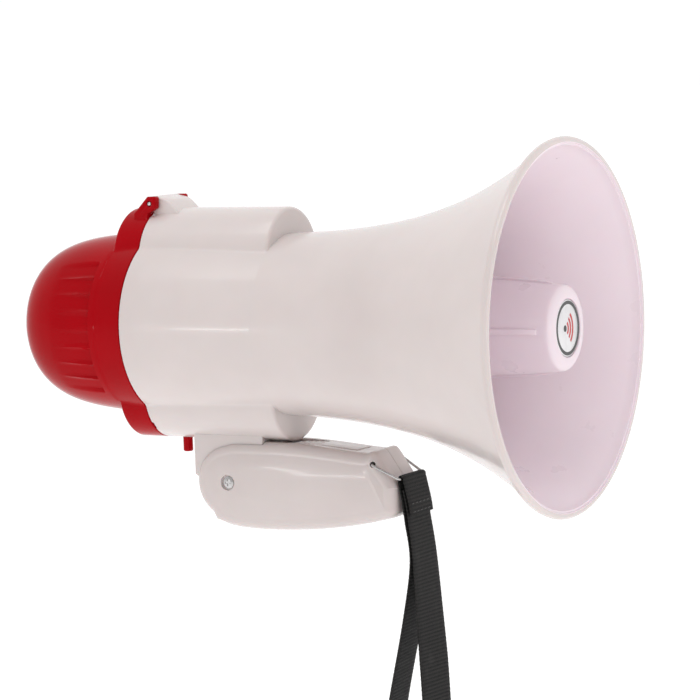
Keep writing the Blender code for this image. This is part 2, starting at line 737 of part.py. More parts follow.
def hinge_ear(side, word):
    inner = LUG_HALF_WIDTH + GAP
    low = side * inner if side > 0 else -inner - EAR_THICKNESS
    foot = AXIS_Z + LOBE_TOP - 7.9 * MM
    face = SEAM_X - GAP - 0.2 * MM
    over_lobe = AXIS_Z + LOBE_OFFSET + sqrt(LOBE_RADIUS ** 2 - inner ** 2) + GAP
    outline = [(PIN_X - 8.0 * MM, foot), (face, foot), (face, over_lobe)]
    outline += arc((PIN_X, PIN_Z), KNUCKLE_RADIUS, -20, 130, 7)
    outline += [(PIN_X - 8.0 * MM, PIN_Z - 4.0 * MM)]
    return extruded("%s_ear" % word, outline, low, low + EAR_THICKNESS)


def cover_contents():
    wall = COVER_WALL
    capsule_x = APEX_X + wall + 1.2 * MM
    radius = 4.8 * MM
    mic = [(capsule_x + GAP, 0), (capsule_x + GAP, radius), (capsule_x + 5.0 * MM, radius),
           (capsule_x + 5.0 * MM, 0)]
    turned("microphone", mic[::-1], material("mic_can", (0.5, 0.5, 0.52), 0.3, 1.0), sides=24)
    sleeve = ring(capsule_x, capsule_x + 4.2 * MM, radius + GAP, radius + 2.2 * MM)
    turned("mic_grommet", sleeve, material("rubber", (0.03, 0.03, 0.03), 0.8), sides=24)
    shelf_x = cell_rear() - 5.0 * MM
    for side, word in ((-1, "near"), (1, "far")):
        y = side * CELL_SPACING
        low = (shelf_x, y - 5.0 * MM, AXIS_Z - CELL_SPACING - 7.0 * MM)
        high = (shelf_x + 0.8 * MM, y + 5.0 * MM, AXIS_Z + CELL_SPACING + 7.0 * MM)
        block("cover_contact_%s" % word, low, high, steel())
    hook_z = LOBE_BOTTOM_Z + HOUSING_WALL + 0.8 * MM
    hook_x = SEAM_X + 3.0 * MM
    root_x = COLLAR_REAR_X + wall + GAP
    outline = [(root_x, hook_z + 1.6 * MM), (root_x, hook_z), (SEAM_X - 1.0 * MM, hook_z),
               (hook_x - 1.2 * MM, hook_z - 0.4 * MM), (hook_x, hook_z + 1.0 * MM),
               (hook_x, hook_z + 1.6 * MM)]
    extruded("cover_catch", outline, -4.0 * MM, 4.0 * MM, red_abs())


def hinge_pin():
    reach = LUG_HALF_WIDTH + EAR_THICKNESS + 0.4 * MM
    return rod("hinge_pin", (PIN_X, -reach, PIN_Z), (PIN_X, reach, PIN_Z), PIN_RADIUS, steel())


# ---- batteries ----

def cell_rear():
    return CELL_FRONT - CELL_LENGTH


def battery_cells():
    finish = material("cell_jacket", (0.03, 0.05, 0.12), 0.35)
    bevel = 0.8 * MM
    number = 0
    for z_side in (1, -1):
        for y_side in (-1, 1):
            number += 1
            towards = y_side * z_side
            rear, front = cell_rear(), CELL_FRONT
            profile = [(rear, 0), (rear, CELL_RADIUS - bevel), (rear + bevel, CELL_RADIUS),
                       (front - bevel, CELL_RADIUS),
                       (front, CELL_RADIUS - bevel), (front, NUB_RADIUS), (front + NUB_LENGTH, NUB_RADIUS),
                       (front + NUB_LENGTH, 0)]
            middle = rear + front
            if towards > 0:
                profile = [(middle - x, r) for x, r in profile][::-1]
            place = Matrix.Translation((0, y_side * CELL_SPACING, AXIS_Z + z_side * CELL_SPACING))
            turned("battery_cell_%d" % number, profile[::-1], finish, place, sides=24)


def battery_tray():
    front = tray_front()
    plate = 2.0 * MM
    radius = BARREL_FRONT_RADIUS - HOUSING_WALL - 1.2 * MM
    tray = cone("battery_tray", front - plate, front, radius, radius, black_plastic())
    half = TRAY_CROSS / 2
    rear = cell_rear() + 3.0 * MM
    reach = CELL_SPACING + 9.0 * MM
    join(tray, block("tray_upright", (rear, -half, AXIS_Z - reach),
                     (front - 1.0 * MM, half, AXIS_Z + reach)),
         block("tray_shelf", (rear, -reach, AXIS_Z - half), (front - 1.0 * MM, reach, AXIS_Z + half)))
    return tray


def tray_front():
    return CELL_FRONT + NUB_LENGTH + 3.0 * MM


def battery_contacts():
    plate_x = tray_front() - 2.0 * MM - GAP
    width = 6.0 * MM
    for y_side, word in ((-1, "near"), (1, "far")):
        y = y_side * CELL_SPACING
        low = (plate_x - 0.6 * MM, y - width, AXIS_Z + 1.2 * MM)
        high = (plate_x, y + width, AXIS_Z + CELL_SPACING + 8.0 * MM)
        block("tray_contact_%s" % word, low, high, steel())
    spring_rear = cell_rear() - 0.8 * MM
    shelf_x = cell_rear() - 5.0 * MM + 0.8 * MM
    length = spring_rear - shelf_x - 1.6 * MM
    for y_side, word in ((-1, "near"), (1, "far")):
        z_side = -y_side
        centre = (shelf_x + 0.9 * MM, y_side * CELL_SPACING, AXIS_Z + z_side * CELL_SPACING)
        coil("contact_spring_%s" % word, centre, (1, 0, 0), 4.0 * MM, 0.4 * MM, length, 2, steel())


# ---- electronics in the lower lobe ----

def board_top():
    return AXIS_Z - 36.6 * MM


def electronics():
    top = board_top()
    under = top - 1.6 * MM
    rear, front = SEAM_X + 3.5 * MM, HOUSING_FRONT - 9.0 * MM
    board = block("amp_board", (rear, -15.0 * MM, under), (front, 15.0 * MM, top),
                  material("board_green", (0.02, 0.16, 0.06), 0.4))
    notch = block("board_notch", (wheel_x() - 4.0 * MM, 4.6 * MM, under - OVER),
                  (front + OVER, 15.0 * MM + OVER, top + OVER))
    cut(board, notch)
    x = button_x()
    well = block("siren_switch", (x - 4.0 * MM, -4.0 * MM, under - GAP - 5.2 * MM),
                 (x + 4.0 * MM, 4.0 * MM, under - GAP),
                 black_plastic())
    cut(well, rod("switch_well", (x, 0, under - GAP - 5.2 * MM - OVER), (x, 0, under - GAP - 0.8 * MM),
                  BUTTON_RADIUS + 1.0 * MM))
    can = 3.2 * MM
    rod("filter_capacitor", (-3.0 * MM, -8.0 * MM, under - GAP - can),
        (7.0 * MM, -8.0 * MM, under - GAP - can), can,
        material("capacitor_sleeve", (0.03, 0.03, 0.05), 0.35))
    fin_low = under - GAP - 4.8 * MM
    sink = block("heat_sink", (-18.0 * MM, 5.0 * MM, fin_low), (-4.0 * MM, 12.0 * MM, under - GAP),
                 material("aluminium", (0.7, 0.7, 0.72), 0.4, 1.0))
    for number in range(3):
        y = 6.4 * MM + number * 2.1 * MM
        cut(sink, block("sink_slot_%d" % number, (-18.0 * MM - OVER, y - 0.45 * MM, fin_low - OVER),
                        (-4.0 * MM + OVER, y + 0.45 * MM, fin_low + 3.4 * MM)))


def siren_button():
    low = LOBE_BOTTOM_Z - BUTTON_PROUD
    high = button_top()
    x = button_x()
    place = Matrix.Translation((x, 0, 0)) @ Matrix.Rotation(-pi / 2, 4, "Y")
    flange = LOBE_BOTTOM_Z + HOUSING_WALL + GAP
    profile = [(low, 0), (low, BUTTON_RADIUS - 0.5 * MM), (low + 0.5 * MM, BUTTON_RADIUS),
               (flange, BUTTON_RADIUS),
               (flange, BUTTON_RADIUS + 0.7 * MM), (flange + 0.8 * MM, BUTTON_RADIUS + 0.7 * MM),
               (flange + 0.8 * MM, 1.2 * MM), (high, 1.2 * MM), (high, 0)]
    return turned("siren_button", profile[::-1], red_abs(), place, sides=20)


def button_top():
    return board_top() - 1.6 * MM - GAP - 0.8 * MM - BUTTON_TRAVEL - 0.3 * MM


def button_spring():
    flange_top = LOBE_BOTTOM_Z + HOUSING_WALL + GAP + 0.8 * MM
    roof = board_top() - 1.6 * MM - GAP - 0.8 * MM
    length = roof - flange_top - 1.2 * MM
    return coil("button_spring", (button_x(), 0, flange_top + 0.6 * MM), (0, 0, 1), 1.9 * MM, 0.25 * MM,
                length, 4, steel())


def volume_control():
    z = AXIS_Z - WHEEL_BELOW_AXIS
    x = wheel_x()
    half = WHEEL_THICKNESS / 2
    place = Matrix.Translation((0, WHEEL_SIDE, z))
    bore = 1.6 * MM
    profile = [(x - half, bore), (x - half, WHEEL_RADIUS - 0.4 * MM), (x - half + 0.4 * MM, WHEEL_RADIUS),
               (x + half - 0.4 * MM, WHEEL_RADIUS), (x + half, WHEEL_RADIUS - 0.4 * MM), (x + half, bore)]
    turned("volume_wheel", profile[::-1], black_plastic(), place, sides=32)
    pot_rear = x + half + GAP
    pot = block("volume_pot", (pot_rear, WHEEL_SIDE - 2.8 * MM, z - 2.8 * MM),
                (pot_rear + 4.0 * MM, WHEEL_SIDE + 2.8 * MM, z + 2.8 * MM),
                black_plastic())
    join(pot, rod("pot_shaft", (x - half - 0.2 * MM, WHEEL_SIDE, z), (pot_rear + 1.0 * MM, WHEEL_SIDE, z),
                  bore - GAP))


# ---- bracket ----

def pivot_bracket():
    top = LOBE_BOTTOM_Z + 5.0 * MM
    boss = arc((0, 0), BRACKET_BOSS, BOSS_START, 540 - BOSS_START, 8)
    outline = [(-BRACKET_REAR, top), (-BRACKET_REAR, BRACKET_CORNER)] + boss
    outline += [(BRACKET_FRONT, BRACKET_CORNER + 4.0 * MM), (BRACKET_FRONT, top)]
    bracket = extruded("pivot_bracket", outline, -BRACKET_HALF_WIDTH, BRACKET_HALF_WIDTH, white_abs())
    seat = turned("bracket_seat", [(-BRACKET_REAR - OVER, 0), (-BRACKET_REAR - OVER, LOBE_RADIUS + GAP),
                                   (BRACKET_FRONT + OVER, LOBE_RADIUS + GAP),
                                   (BRACKET_FRONT + OVER, 0)][::-1],
                  None, Matrix.Translation((0, 0, AXIS_Z - LOBE_OFFSET)), sides=64)
    width = BRACKET_HALF_WIDTH + OVER
    bore = rod("bracket_bore", (0, -width, 0), (0, width, 0), BUSH_RADIUS + GAP, sides=24)
    cut(bracket, seat, bore)
    for number, x in enumerate(bracket_screw_places()):
        depth = LOBE_BOTTOM_Z - 7.5 * MM
        cut(bracket, rod("bracket_pilot_%d" % number, (x, 0, depth), (x, 0, top), 1.25 * MM + GAP))
        head_z = LOBE_BOTTOM_Z + HOUSING_WALL + GAP
        place = Matrix.Translation((x, 0, 0)) @ Matrix.Rotation(-pi / 2, 4, "Y")
        screw = [(depth + 0.5 * MM, 0), (depth + 0.5 * MM, 1.25 * MM), (head_z, 1.25 * MM),
                 (head_z, 2.6 * MM),
                 (head_z + 1.6 * MM, 2.2 * MM), (head_z + 1.6 * MM, 0)]
        turned("bracket_screw_%d" % (number + 1), screw[::-1], steel(), place, sides=12)
    half = BRACKET_HALF_WIDTH - GAP
    turned("pivot_bush", ring(-half, half, PIVOT_SCREW_RADIUS + GAP, BUSH_RADIUS), brass(),
           Matrix.Rotation(pi / 2, 4, "Z"), sides=24)


# ---- handle ----

def handle_outline(rise=0.0):
    """The side view of the handle when folded forward, anticlockwise from the butt's top."""
    reach = HANDLE_REACH
    top = HANDLE_TOP
    belly = -HANDLE_BELLY
    butt = arc((0, 0), BUTT_RADIUS, 104, 236, 14)
    bottom = smooth_line([(-0.092 * reach, belly * 0.85), (0.03 * reach, belly * 0.965),
                          (0.2 * reach, belly),
                          (0.42 * reach, belly * 0.97), (0.62 * reach, belly * 0.89),
                          (0.8 * reach, belly * 0.77),
                          (0.94 * reach, belly * 0.64)], 2)
    toe = arc((reach - 3.6 * MM, belly * 0.62 + 3.6 * MM), 3.6 * MM, -75, 0, 3)
    end = [(reach, 0.0), (reach - 0.5 * MM, 1.6 * MM), (RING_HOLE_X + 2.0 * MM, RING_HOLE_Z + 2.4 * MM)]
    ridge = [(RING_HOLE_X + 0.2 * MM, RING_HOLE_Z + 4.8 * MM),
             (RING_HOLE_X - 1.4 * MM, RING_HOLE_Z + 5.2 * MM)]
    crest = smooth_line([(RING_HOLE_X - 4.0 * MM, top * 0.86 + rise * 0.5),
                         (0.75 * reach, top * 0.88 + rise * 0.55),
                         (0.63 * reach, top * 0.93 + rise * 0.65), (0.5 * reach, top * 0.975 + rise * 0.8),
                         (0.36 * reach, top + rise), (0.1 * reach, top + rise),
                         (0.012 * reach, top + rise * 0.75)], 2)
    return butt + bottom + toe + end + ridge + crest


def cheek_blank(name, side, outline, inside, half_width, edge, skin=0.0, finish=None):
    """One half of the handle, or of its inside under a skin, its outer side rounded towards the outline."""
    bm = bmesh.new()
    steps = 3
    loops = [[bm.verts.new((x, inside, z)) for x, z in offset(outline, skin)]]
    for i in range(steps + 1):
        turn = pi / 2 * i / steps
        inset = skin + edge * (1 - cos(turn))
        y = side * (half_width - edge + edge * sin(turn))
        loops.append([bm.verts.new((x, y, z)) for x, z in offset(outline, inset)])
    count = len(outline)
    for first, second in zip(loops, loops[1:]):
        for i in range(count):
            after = (i + 1) % count
            bm.faces.new((first[i], first[after], second[after], second[i]))
    bm.faces.new(loops[0])
    bm.faces.new(loops[-1])
    bmesh.ops.remove_doubles(bm, verts=bm.verts, dist=1e-6)
    bmesh.ops.dissolve_degenerate(bm, edges=bm.edges, dist=1e-6)
    return add_object(name, bm, finish)


def handle_shell(side, word):
    shell = cheek_blank("handle_%s" % word, side, handle_outline(CHEEK_RISE), GAP / 2 * side,
                        HANDLE_HALF_WIDTH,
                        HANDLE_EDGE, finish=white_abs())
    wall = HANDLE_WALL
    hollow = cheek_blank("hollow_%s" % word, side, handle_outline(), -OVER * side, HANDLE_HALF_WIDTH - wall,
                         HANDLE_EDGE - 1.2 * MM, wall)
    lobe_z = LOBE_BOTTOM_Z + LOBE_RADIUS
    relief = rod("lobe_relief_%s" % word, (-BUTT_RADIUS - OVER, 0, lobe_z),
                 (HOUSING_FRONT + OVER, 0, lobe_z),
                 LOBE_RADIUS + HANDLE_BELOW_LOBE, sides=96)
    cut(shell, hollow, relief)
    reach = CHEEK_INNER
    low, high = (-OVER, reach) if side > 0 else (-reach, OVER)
    clear = BRACKET_FRONT + 0.5 * MM
    far = BUTT_RADIUS + 12.0 * MM
    stop = -BRACKET_CORNER + 0.5 * MM
    boss_x, boss_z = BRACKET_BOSS * cos(radians(BOSS_START)), BRACKET_BOSS * sin(radians(BOSS_START))
    floor = -10.0 * MM
    slope = (BRACKET_CORNER - boss_z) / (boss_x + BRACKET_REAR)
    fork = extruded("fork_%s" % word, [(-far, -far), (stop, -far), (stop, -BRACKET_REAR),
                                       (stop + slope * (floor + BRACKET_REAR), floor), (clear, floor),
                                       (clear, far), (-far, far)], low, high)
    cut(shell, fork)
    slot_low, slot_high = (-OVER, TRIGGER_HALF_WIDTH + GAP) if side > 0 else (-TRIGGER_HALF_WIDTH - GAP,
                                                                              OVER)
    slot = block("trigger_slot_%s" % word, (TRIGGER_REAR - 0.8 * MM, slot_low, HANDLE_TOP - 5.0 * MM),
                 (trigger_front() + 0.6 * MM, slot_high, HANDLE_TOP + 5.0 * MM))
    cut(shell, slot)
    for number, (x, z) in enumerate(boss_places()):
        y = (GAP / 2) * side
        end = (HANDLE_HALF_WIDTH - wall + 0.4 * MM) * side
        join(shell, rod("boss_%s_%d" % (word, number), (x, y, z), (x, end, z), 3.0 * MM))
    holder = TRIGGER_HALF_WIDTH + 2 * GAP
    join(shell, rod("pin_boss_%s" % word, (TRIGGER_PIVOT_X, holder * side, trigger_pivot_z()),
                    (TRIGGER_PIVOT_X, (HANDLE_HALF_WIDTH - wall + 0.4 * MM) * side, trigger_pivot_z()),
                    2.6 * MM))
    past = HANDLE_HALF_WIDTH + OVER
    cut(shell, rod("pin_hole_%s" % word, (TRIGGER_PIVOT_X, 0, trigger_pivot_z()),
                   (TRIGGER_PIVOT_X, (trigger_pin_half() + GAP) * side, trigger_pivot_z()),
                   TRIGGER_PIN + GAP),
        rod("ring_hole_%s" % word, (RING_HOLE_X, 0, RING_HOLE_Z), (RING_HOLE_X, past * side, RING_HOLE_Z),
            1.2 * MM),
        rod("pivot_hole_%s" % word, (0, 0, 0), (0, past * side, 0), PIVOT_SCREW_RADIUS + GAP),
        rod("pivot_recess_%s" % word, (0, (HANDLE_HALF_WIDTH - 1.0 * MM) * side, 0), (0, past * side, 0),
            3.4 * MM, sides=24))
    for number, (x, z) in enumerate(boss_places()):
        if side > 0:
            cut(shell, rod("screw_hole_%d" % number, (x, -OVER, z), (x, past, z), 1.25 * MM + GAP),
                rod("screw_sink_%d" % number, (x, HANDLE_HALF_WIDTH - 3.0 * MM, z), (x, past, z), 2.6 * MM))
        else:
            cut(shell, rod("screw_pilot_%d" % number, (x, OVER, z), (x, -7.0 * MM, z), 1.25 * MM + GAP))
    return shell


def trigger_pin_half():
    return HANDLE_HALF_WIDTH - HANDLE_WALL - 1.0 * MM


def boss_places():
    """Screw bosses inside the handle, as (x, z)."""
    return ((30.0 * MM, -11.5 * MM), (66.0 * MM, -5.0 * MM))


def trigger_front():
    return TRIGGER_PIVOT_X + 2.6 * MM


def trigger_pivot_z():
    return HANDLE_TOP - 4.4 * MM


def handle_fasteners():
    for number, (x, z) in enumerate(boss_places()):
        head = HANDLE_HALF_WIDTH - 3.0 * MM + GAP
        place = Matrix.Translation((x, 0, z)) @ Matrix.Rotation(pi / 2, 4, "Z")
        screw = [(-6.5 * MM, 0), (-6.5 * MM, 1.25 * MM), (head, 1.25 * MM), (head, 2.3 * MM),
                 (head + 1.5 * MM, 1.9 * MM),
                 (head + 1.5 * MM, 0)]
        turned("handle_screw_%d" % (number + 1), screw[::-1], steel(), place, sides=12)
    seat = HANDLE_HALF_WIDTH - 1.0 * MM + GAP / 2
    flip = Matrix.Rotation(-pi / 2, 4, "Z")
    pivot = [(-seat, 0), (-seat, PIVOT_SCREW_RADIUS), (seat, PIVOT_SCREW_RADIUS), (seat, 2.9 * MM),
             (seat + 0.6 * MM, 2.5 * MM), (seat + 0.6 * MM, 0)]
    turned("pivot_screw", pivot[::-1], steel(), flip, sides=20)
    turned("pivot_nut", ring(seat, seat + 0.75 * MM, PIVOT_SCREW_RADIUS + GAP / 2, 2.9 * MM), steel(),
           Matrix.Rotation(pi / 2, 4, "Z"), sides=6)
    z = trigger_pivot_z()
    half = trigger_pin_half()
    rod("trigger_pin", (TRIGGER_PIVOT_X, -half, z), (TRIGGER_PIVOT_X, half, z), TRIGGER_PIN, steel(),
        sides=12)
    block("trigger_switch", (switch_x() - 6.0 * MM, -3.2 * MM, switch_top() - 8.0 * MM),
          (switch_x() + 6.0 * MM, 3.2 * MM, switch_top()),
          black_plastic())


def switch_x():
    return TRIGGER_REAR + 8.0 * MM


def switch_top():
    return HANDLE_TOP - 3.4 * MM - TRIGGER_TRAVEL - 0.5 * MM


def trigger():
    rear, front = TRIGGER_REAR, trigger_front()
    top = HANDLE_TOP
    z = trigger_pivot_z()
    crown = smooth_line([(rear, top - 0.6 * MM), (rear + 7.0 * MM, top + TRIGGER_PROUD * 0.45),
                         (rear + 16.0 * MM, top + TRIGGER_PROUD),
                         (rear + 24.0 * MM, top + TRIGGER_PROUD * 0.7),
                         (front - 6.0 * MM, top - 0.3 * MM), (front, top - 1.0 * MM)], 3)
    under = [(front, top - 2.4 * MM)]
    barrel = arc((TRIGGER_PIVOT_X, z), 2.2 * MM, 0, -180, 6)
    below = [(TRIGGER_PIVOT_X - 2.2 * MM, top - 2.8 * MM), (rear, top - 2.8 * MM)]
    body = extruded("trigger", (crown + under + barrel + below)[::-1], -TRIGGER_HALF_WIDTH,
                    TRIGGER_HALF_WIDTH, white_abs())
    soften(body, 0.5 * MM, 1, 60)
    past = TRIGGER_HALF_WIDTH + OVER
    cut(body, rod("trigger_bore", (TRIGGER_PIVOT_X, -past, z), (TRIGGER_PIVOT_X, past, z),
                  TRIGGER_PIN + GAP))
    return body


def trigger_spring():
    low = HANDLE_TOP - 3.4 * MM - 7.0 * MM
    high = HANDLE_TOP - 2.8 * MM - 0.7 * MM
    return coil("trigger_spring", (TRIGGER_REAR + 19.0 * MM, 0, low), (0, 0, 1), 2.2 * MM, 0.3 * MM,
                high - low, 4, steel())


def spring_post():
    """The ledge that the trigger spring stands on, between the two shells."""
    x = TRIGGER_REAR + 19.0 * MM
    top = HANDLE_TOP - 3.4 * MM - 7.0 * MM - 0.6 * MM
    half = HANDLE_HALF_WIDTH - HANDLE_WALL - 0.5 * MM
    return block("spring_ledge", (x - 3.5 * MM, -half, top - 1.6 * MM), (x + 3.5 * MM, half, top),
                 black_plastic())


# ---- ring and strap ----

def strap_ring():
    eye = HANDLE_HALF_WIDTH + 0.8 * MM
    bar = STRAP_WIDTH / 2 + 0.9 * MM
    turn = 0.8 * MM
    near = [(RING_HOLE_X, -eye + turn, RING_HOLE_Z),
            (RING_HOLE_X + turn * 0.6, -eye, RING_HOLE_Z - turn * 0.3),
            (RING_BAR_X - turn * 0.6, -bar, RING_BAR_Z + turn * 0.3), (RING_BAR_X, -bar + turn, RING_BAR_Z)]
    far = [(x, -y, z) for x, y, z in near[::-1]]
    return wire("strap_ring", near + far, RING_WIRE, steel(), closed=True)


def strap_legs():
    """The hanging loop's middle line in (x, z), down the back leg and up the front one."""
    x, top = RING_BAR_X + 1.2 * MM, RING_BAR_Z - STRAP_SEWN + 1.0 * MM
    low = RING_BAR_Z - STRAP_DROP
    fall = top - low
    back = [(x - 0.1 * MM, top), (x - 1.0 * MM, top - 0.14 * fall), (x - 5.0 * MM, top - 0.32 * fall),
            (x - 12.0 * MM, top - 0.6 * fall), (x - 15.5 * MM, top - 0.8 * fall),
            (x - 13.0 * MM, top - 0.95 * fall)]
    bottom = [(x - 5.0 * MM, low + STRAP_THICKNESS / 2)]
    front = [(x + 4.0 * MM, top - 0.94 * fall), (x + 7.5 * MM, top - 0.8 * fall),
             (x + 8.0 * MM, top - 0.55 * fall),
             (x + 6.2 * MM, top - 0.3 * fall), (x + 3.8 * MM, top - 0.12 * fall), (x + 1.9 * MM, top)]
    return smooth_line(back + bottom + front, 3) + [front[-1]]


def thicken(line, half):
    """A strip's outline around an open middle line."""
    left, right = [], []
    for i, (x, z) in enumerate(line):
        ax, az = line[max(i - 1, 0)]
        bx, bz = line[min(i + 1, len(line) - 1)]
        length = hypot(bx - ax, bz - az)
        nx, nz = -(bz - az) / length, (bx - ax) / length
        left.append((x + nx * half, z + nz * half))
        right.append((x - nx * half, z - nz * half))
    return left + right[::-1]


def wrist_strap():
    finish = material("black_webbing", (0.012, 0.012, 0.013), 0.85)
    half = STRAP_WIDTH / 2
    x, z = RING_BAR_X, RING_BAR_Z
    eye = RING_WIRE + 0.35 * MM
    lean = 1.2 * MM
    band = STRAP_THICKNESS
    sewn = [(x - eye - band + 0.2 * MM, z), (x - 0.8 * MM + lean, z - STRAP_SEWN),
            (x + 3.2 * MM + lean, z - STRAP_SEWN),
            (x + eye + band, z)] + arc((x, z), eye + band, 15, 165, 8)
    strap = extruded("wrist_strap", sewn, -half, half, finish)
    hole = rod("crossbar_hole", (x, -half - OVER, z), (x, half + OVER, z), eye)
    loop = extruded("strap_loop", thicken(strap_legs(), band / 2), -half, half)
    join(strap, loop)
    return cut(strap, hole)


def build():
    clear_scene()
    horn_bell()
    reflector_cup()
    throat_tube()
    reflector_screw()
    badge_plate()
    driver()
    housing_shell()
    rear_cover()
    cover_contents()
    hinge_pin()
    battery_cells()
    battery_tray()
    battery_contacts()
    electronics()
    siren_button()
    button_spring()
    volume_control()
    pivot_bracket()
    handle_shell(-1, "near")
    handle_shell(1, "far")
    handle_fasteners()
    trigger()
    trigger_spring()
    spring_post()
    strap_ring()
    wrist_strap()


build()
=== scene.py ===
import bpy
import bmesh
import json
from math import asin, cos, degrees, exp, hypot, pi, radians, sin, sqrt
from mathutils import Matrix, Vector


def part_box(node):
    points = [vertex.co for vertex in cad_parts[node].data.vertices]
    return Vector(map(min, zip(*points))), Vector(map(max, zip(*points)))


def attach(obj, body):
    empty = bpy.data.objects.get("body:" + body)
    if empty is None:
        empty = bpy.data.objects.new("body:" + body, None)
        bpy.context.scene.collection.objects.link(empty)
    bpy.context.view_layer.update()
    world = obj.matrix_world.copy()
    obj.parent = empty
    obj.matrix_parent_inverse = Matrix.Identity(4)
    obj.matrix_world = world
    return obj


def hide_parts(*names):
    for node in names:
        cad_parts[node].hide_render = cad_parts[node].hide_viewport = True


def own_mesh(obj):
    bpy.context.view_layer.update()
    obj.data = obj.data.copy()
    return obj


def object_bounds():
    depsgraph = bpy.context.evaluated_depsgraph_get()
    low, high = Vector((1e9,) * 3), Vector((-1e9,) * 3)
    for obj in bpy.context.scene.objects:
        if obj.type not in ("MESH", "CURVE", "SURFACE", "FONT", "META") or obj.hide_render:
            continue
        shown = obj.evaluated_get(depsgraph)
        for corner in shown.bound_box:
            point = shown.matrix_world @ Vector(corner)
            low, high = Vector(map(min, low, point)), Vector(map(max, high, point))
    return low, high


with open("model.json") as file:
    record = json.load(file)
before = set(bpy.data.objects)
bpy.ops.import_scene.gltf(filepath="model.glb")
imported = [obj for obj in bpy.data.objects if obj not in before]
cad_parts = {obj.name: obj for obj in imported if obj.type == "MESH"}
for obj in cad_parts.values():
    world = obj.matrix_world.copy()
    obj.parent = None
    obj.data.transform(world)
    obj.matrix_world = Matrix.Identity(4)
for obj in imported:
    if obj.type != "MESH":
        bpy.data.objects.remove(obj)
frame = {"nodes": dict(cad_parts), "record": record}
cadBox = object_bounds()

mm = 0.001
mainBody = "megaphone_body"
bellLow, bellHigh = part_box("horn_bell")
axisHeight = (bellLow[2] + bellHigh[2]) / 2
mouthX = bellHigh[0]
mouthRadius = (bellHigh[2] - bellLow[2]) / 2
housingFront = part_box("housing_shell")[1][0]
onAxis = Matrix.Translation((0, 0, axisHeight))


# camera first: three-quarter view from the right-hand side, a little above the horn's axis

viewCamera = {
    "place": (0.62574, -1.03395, 0.17350),
    "right": (0.8766, 0.4800, -0.0341),
    "down": (0.01748, -0.1026, -0.99457),
    "forward": (-0.4809, 0.87124, -0.0983),
    "lens": 144.9,
    "sensor": 36.0,
    "nearest": 0.01,
    "farthest": 100,
}


def placeCamera():
    data = bpy.data.cameras.new("studioCamera")
    data.lens = viewCamera["lens"]
    data.sensor_width = viewCamera["sensor"]
    data.clip_start = viewCamera["nearest"]
    data.clip_end = viewCamera["farthest"]
    camera = bpy.data.objects.new("studioCamera", data)
    bpy.context.scene.collection.objects.link(camera)
    right = Vector(viewCamera["right"])
    up = -Vector(viewCamera["down"])
    back = -Vector(viewCamera["forward"])
    turn = Matrix((right, up, back)).transposed().to_4x4()
    camera.matrix_world = Matrix.Translation(viewCamera["place"]) @ turn
    bpy.context.scene.camera = camera


placeCamera()
print("camera placed")


# shader helpers: an input takes a constant or another node's output

def feed(tree, node, inputs):
    for key, value in inputs.items():
        socket = node.inputs[key]
        if hasattr(value, "is_output"):
            tree.links.new(value, socket)
        else:
            socket.default_value = (*value, 1) if socket.type == "RGBA" else value
    return node


def newNode(tree, kind, inputs, **settings):
    node = tree.nodes.new("ShaderNode" + kind)
    for key, value in settings.items():
        setattr(node, key, value)
    return feed(tree, node, inputs)


def newFinish(name):
    finish = bpy.data.materials.new(name)
    finish.use_nodes = True
    tree = finish.node_tree
    coords = newNode(tree, "TexCoord", {}).outputs["Object"]
    return finish, tree, tree.nodes["Principled BSDF"], coords


def noiseField(tree, coords, scale, detail=4.0, roughness=0.55, stretch=(1, 1, 1)):
    mapping = newNode(tree, "Mapping", {"Scale": stretch, "Vector": coords})
    return newNode(tree, "TexNoise", {"Scale": scale, "Detail": detail, "Roughness": roughness,
                                      "Vector": mapping.outputs["Vector"]}).outputs["Fac"]


def remap(tree, value, fromLow, fromHigh, toLow, toHigh):
    return newNode(tree, "MapRange", {"Value": value, "From Min": fromLow, "From Max": fromHigh,
                                      "To Min": toLow, "To Max": toHigh}).outputs["Result"]


def blendColours(tree, factor, first, second):
    return newNode(tree, "Mix", {0: factor, 6: first, 7: second}, data_type="RGBA").outputs[2]


def times(tree, first, second):
    return newNode(tree, "Math", {0: first, 1: second}, operation="MULTIPLY").outputs[0]


def plus(tree, first, second):
    return newNode(tree, "Math", {0: first, 1: second}, operation="ADD").outputs[0]


def bumpFrom(tree, height, strength, distance):
    return newNode(tree, "Bump", {"Strength": strength, "Distance": distance, "Height": height}).outputs["Normal"]


def edgeWear(tree, low, high):
    return remap(tree, newNode(tree, "NewGeometry", {}).outputs["Pointiness"], low, high, 0.0, 1.0)


plastic = {
    "cloud": 22,
    "scuff": 260,
    "scuffStretch": (0.12, 1.0, 1.0),
    "smudge": 55,
    "grain": 1500,
    "grainShare": 0.08,
    "sink": 60,
    "bump": 0.6 * mm,
    "refraction": 1.53,
    "coatRoughness": 0.06,
    "scatterDepth": 2 * mm,
}


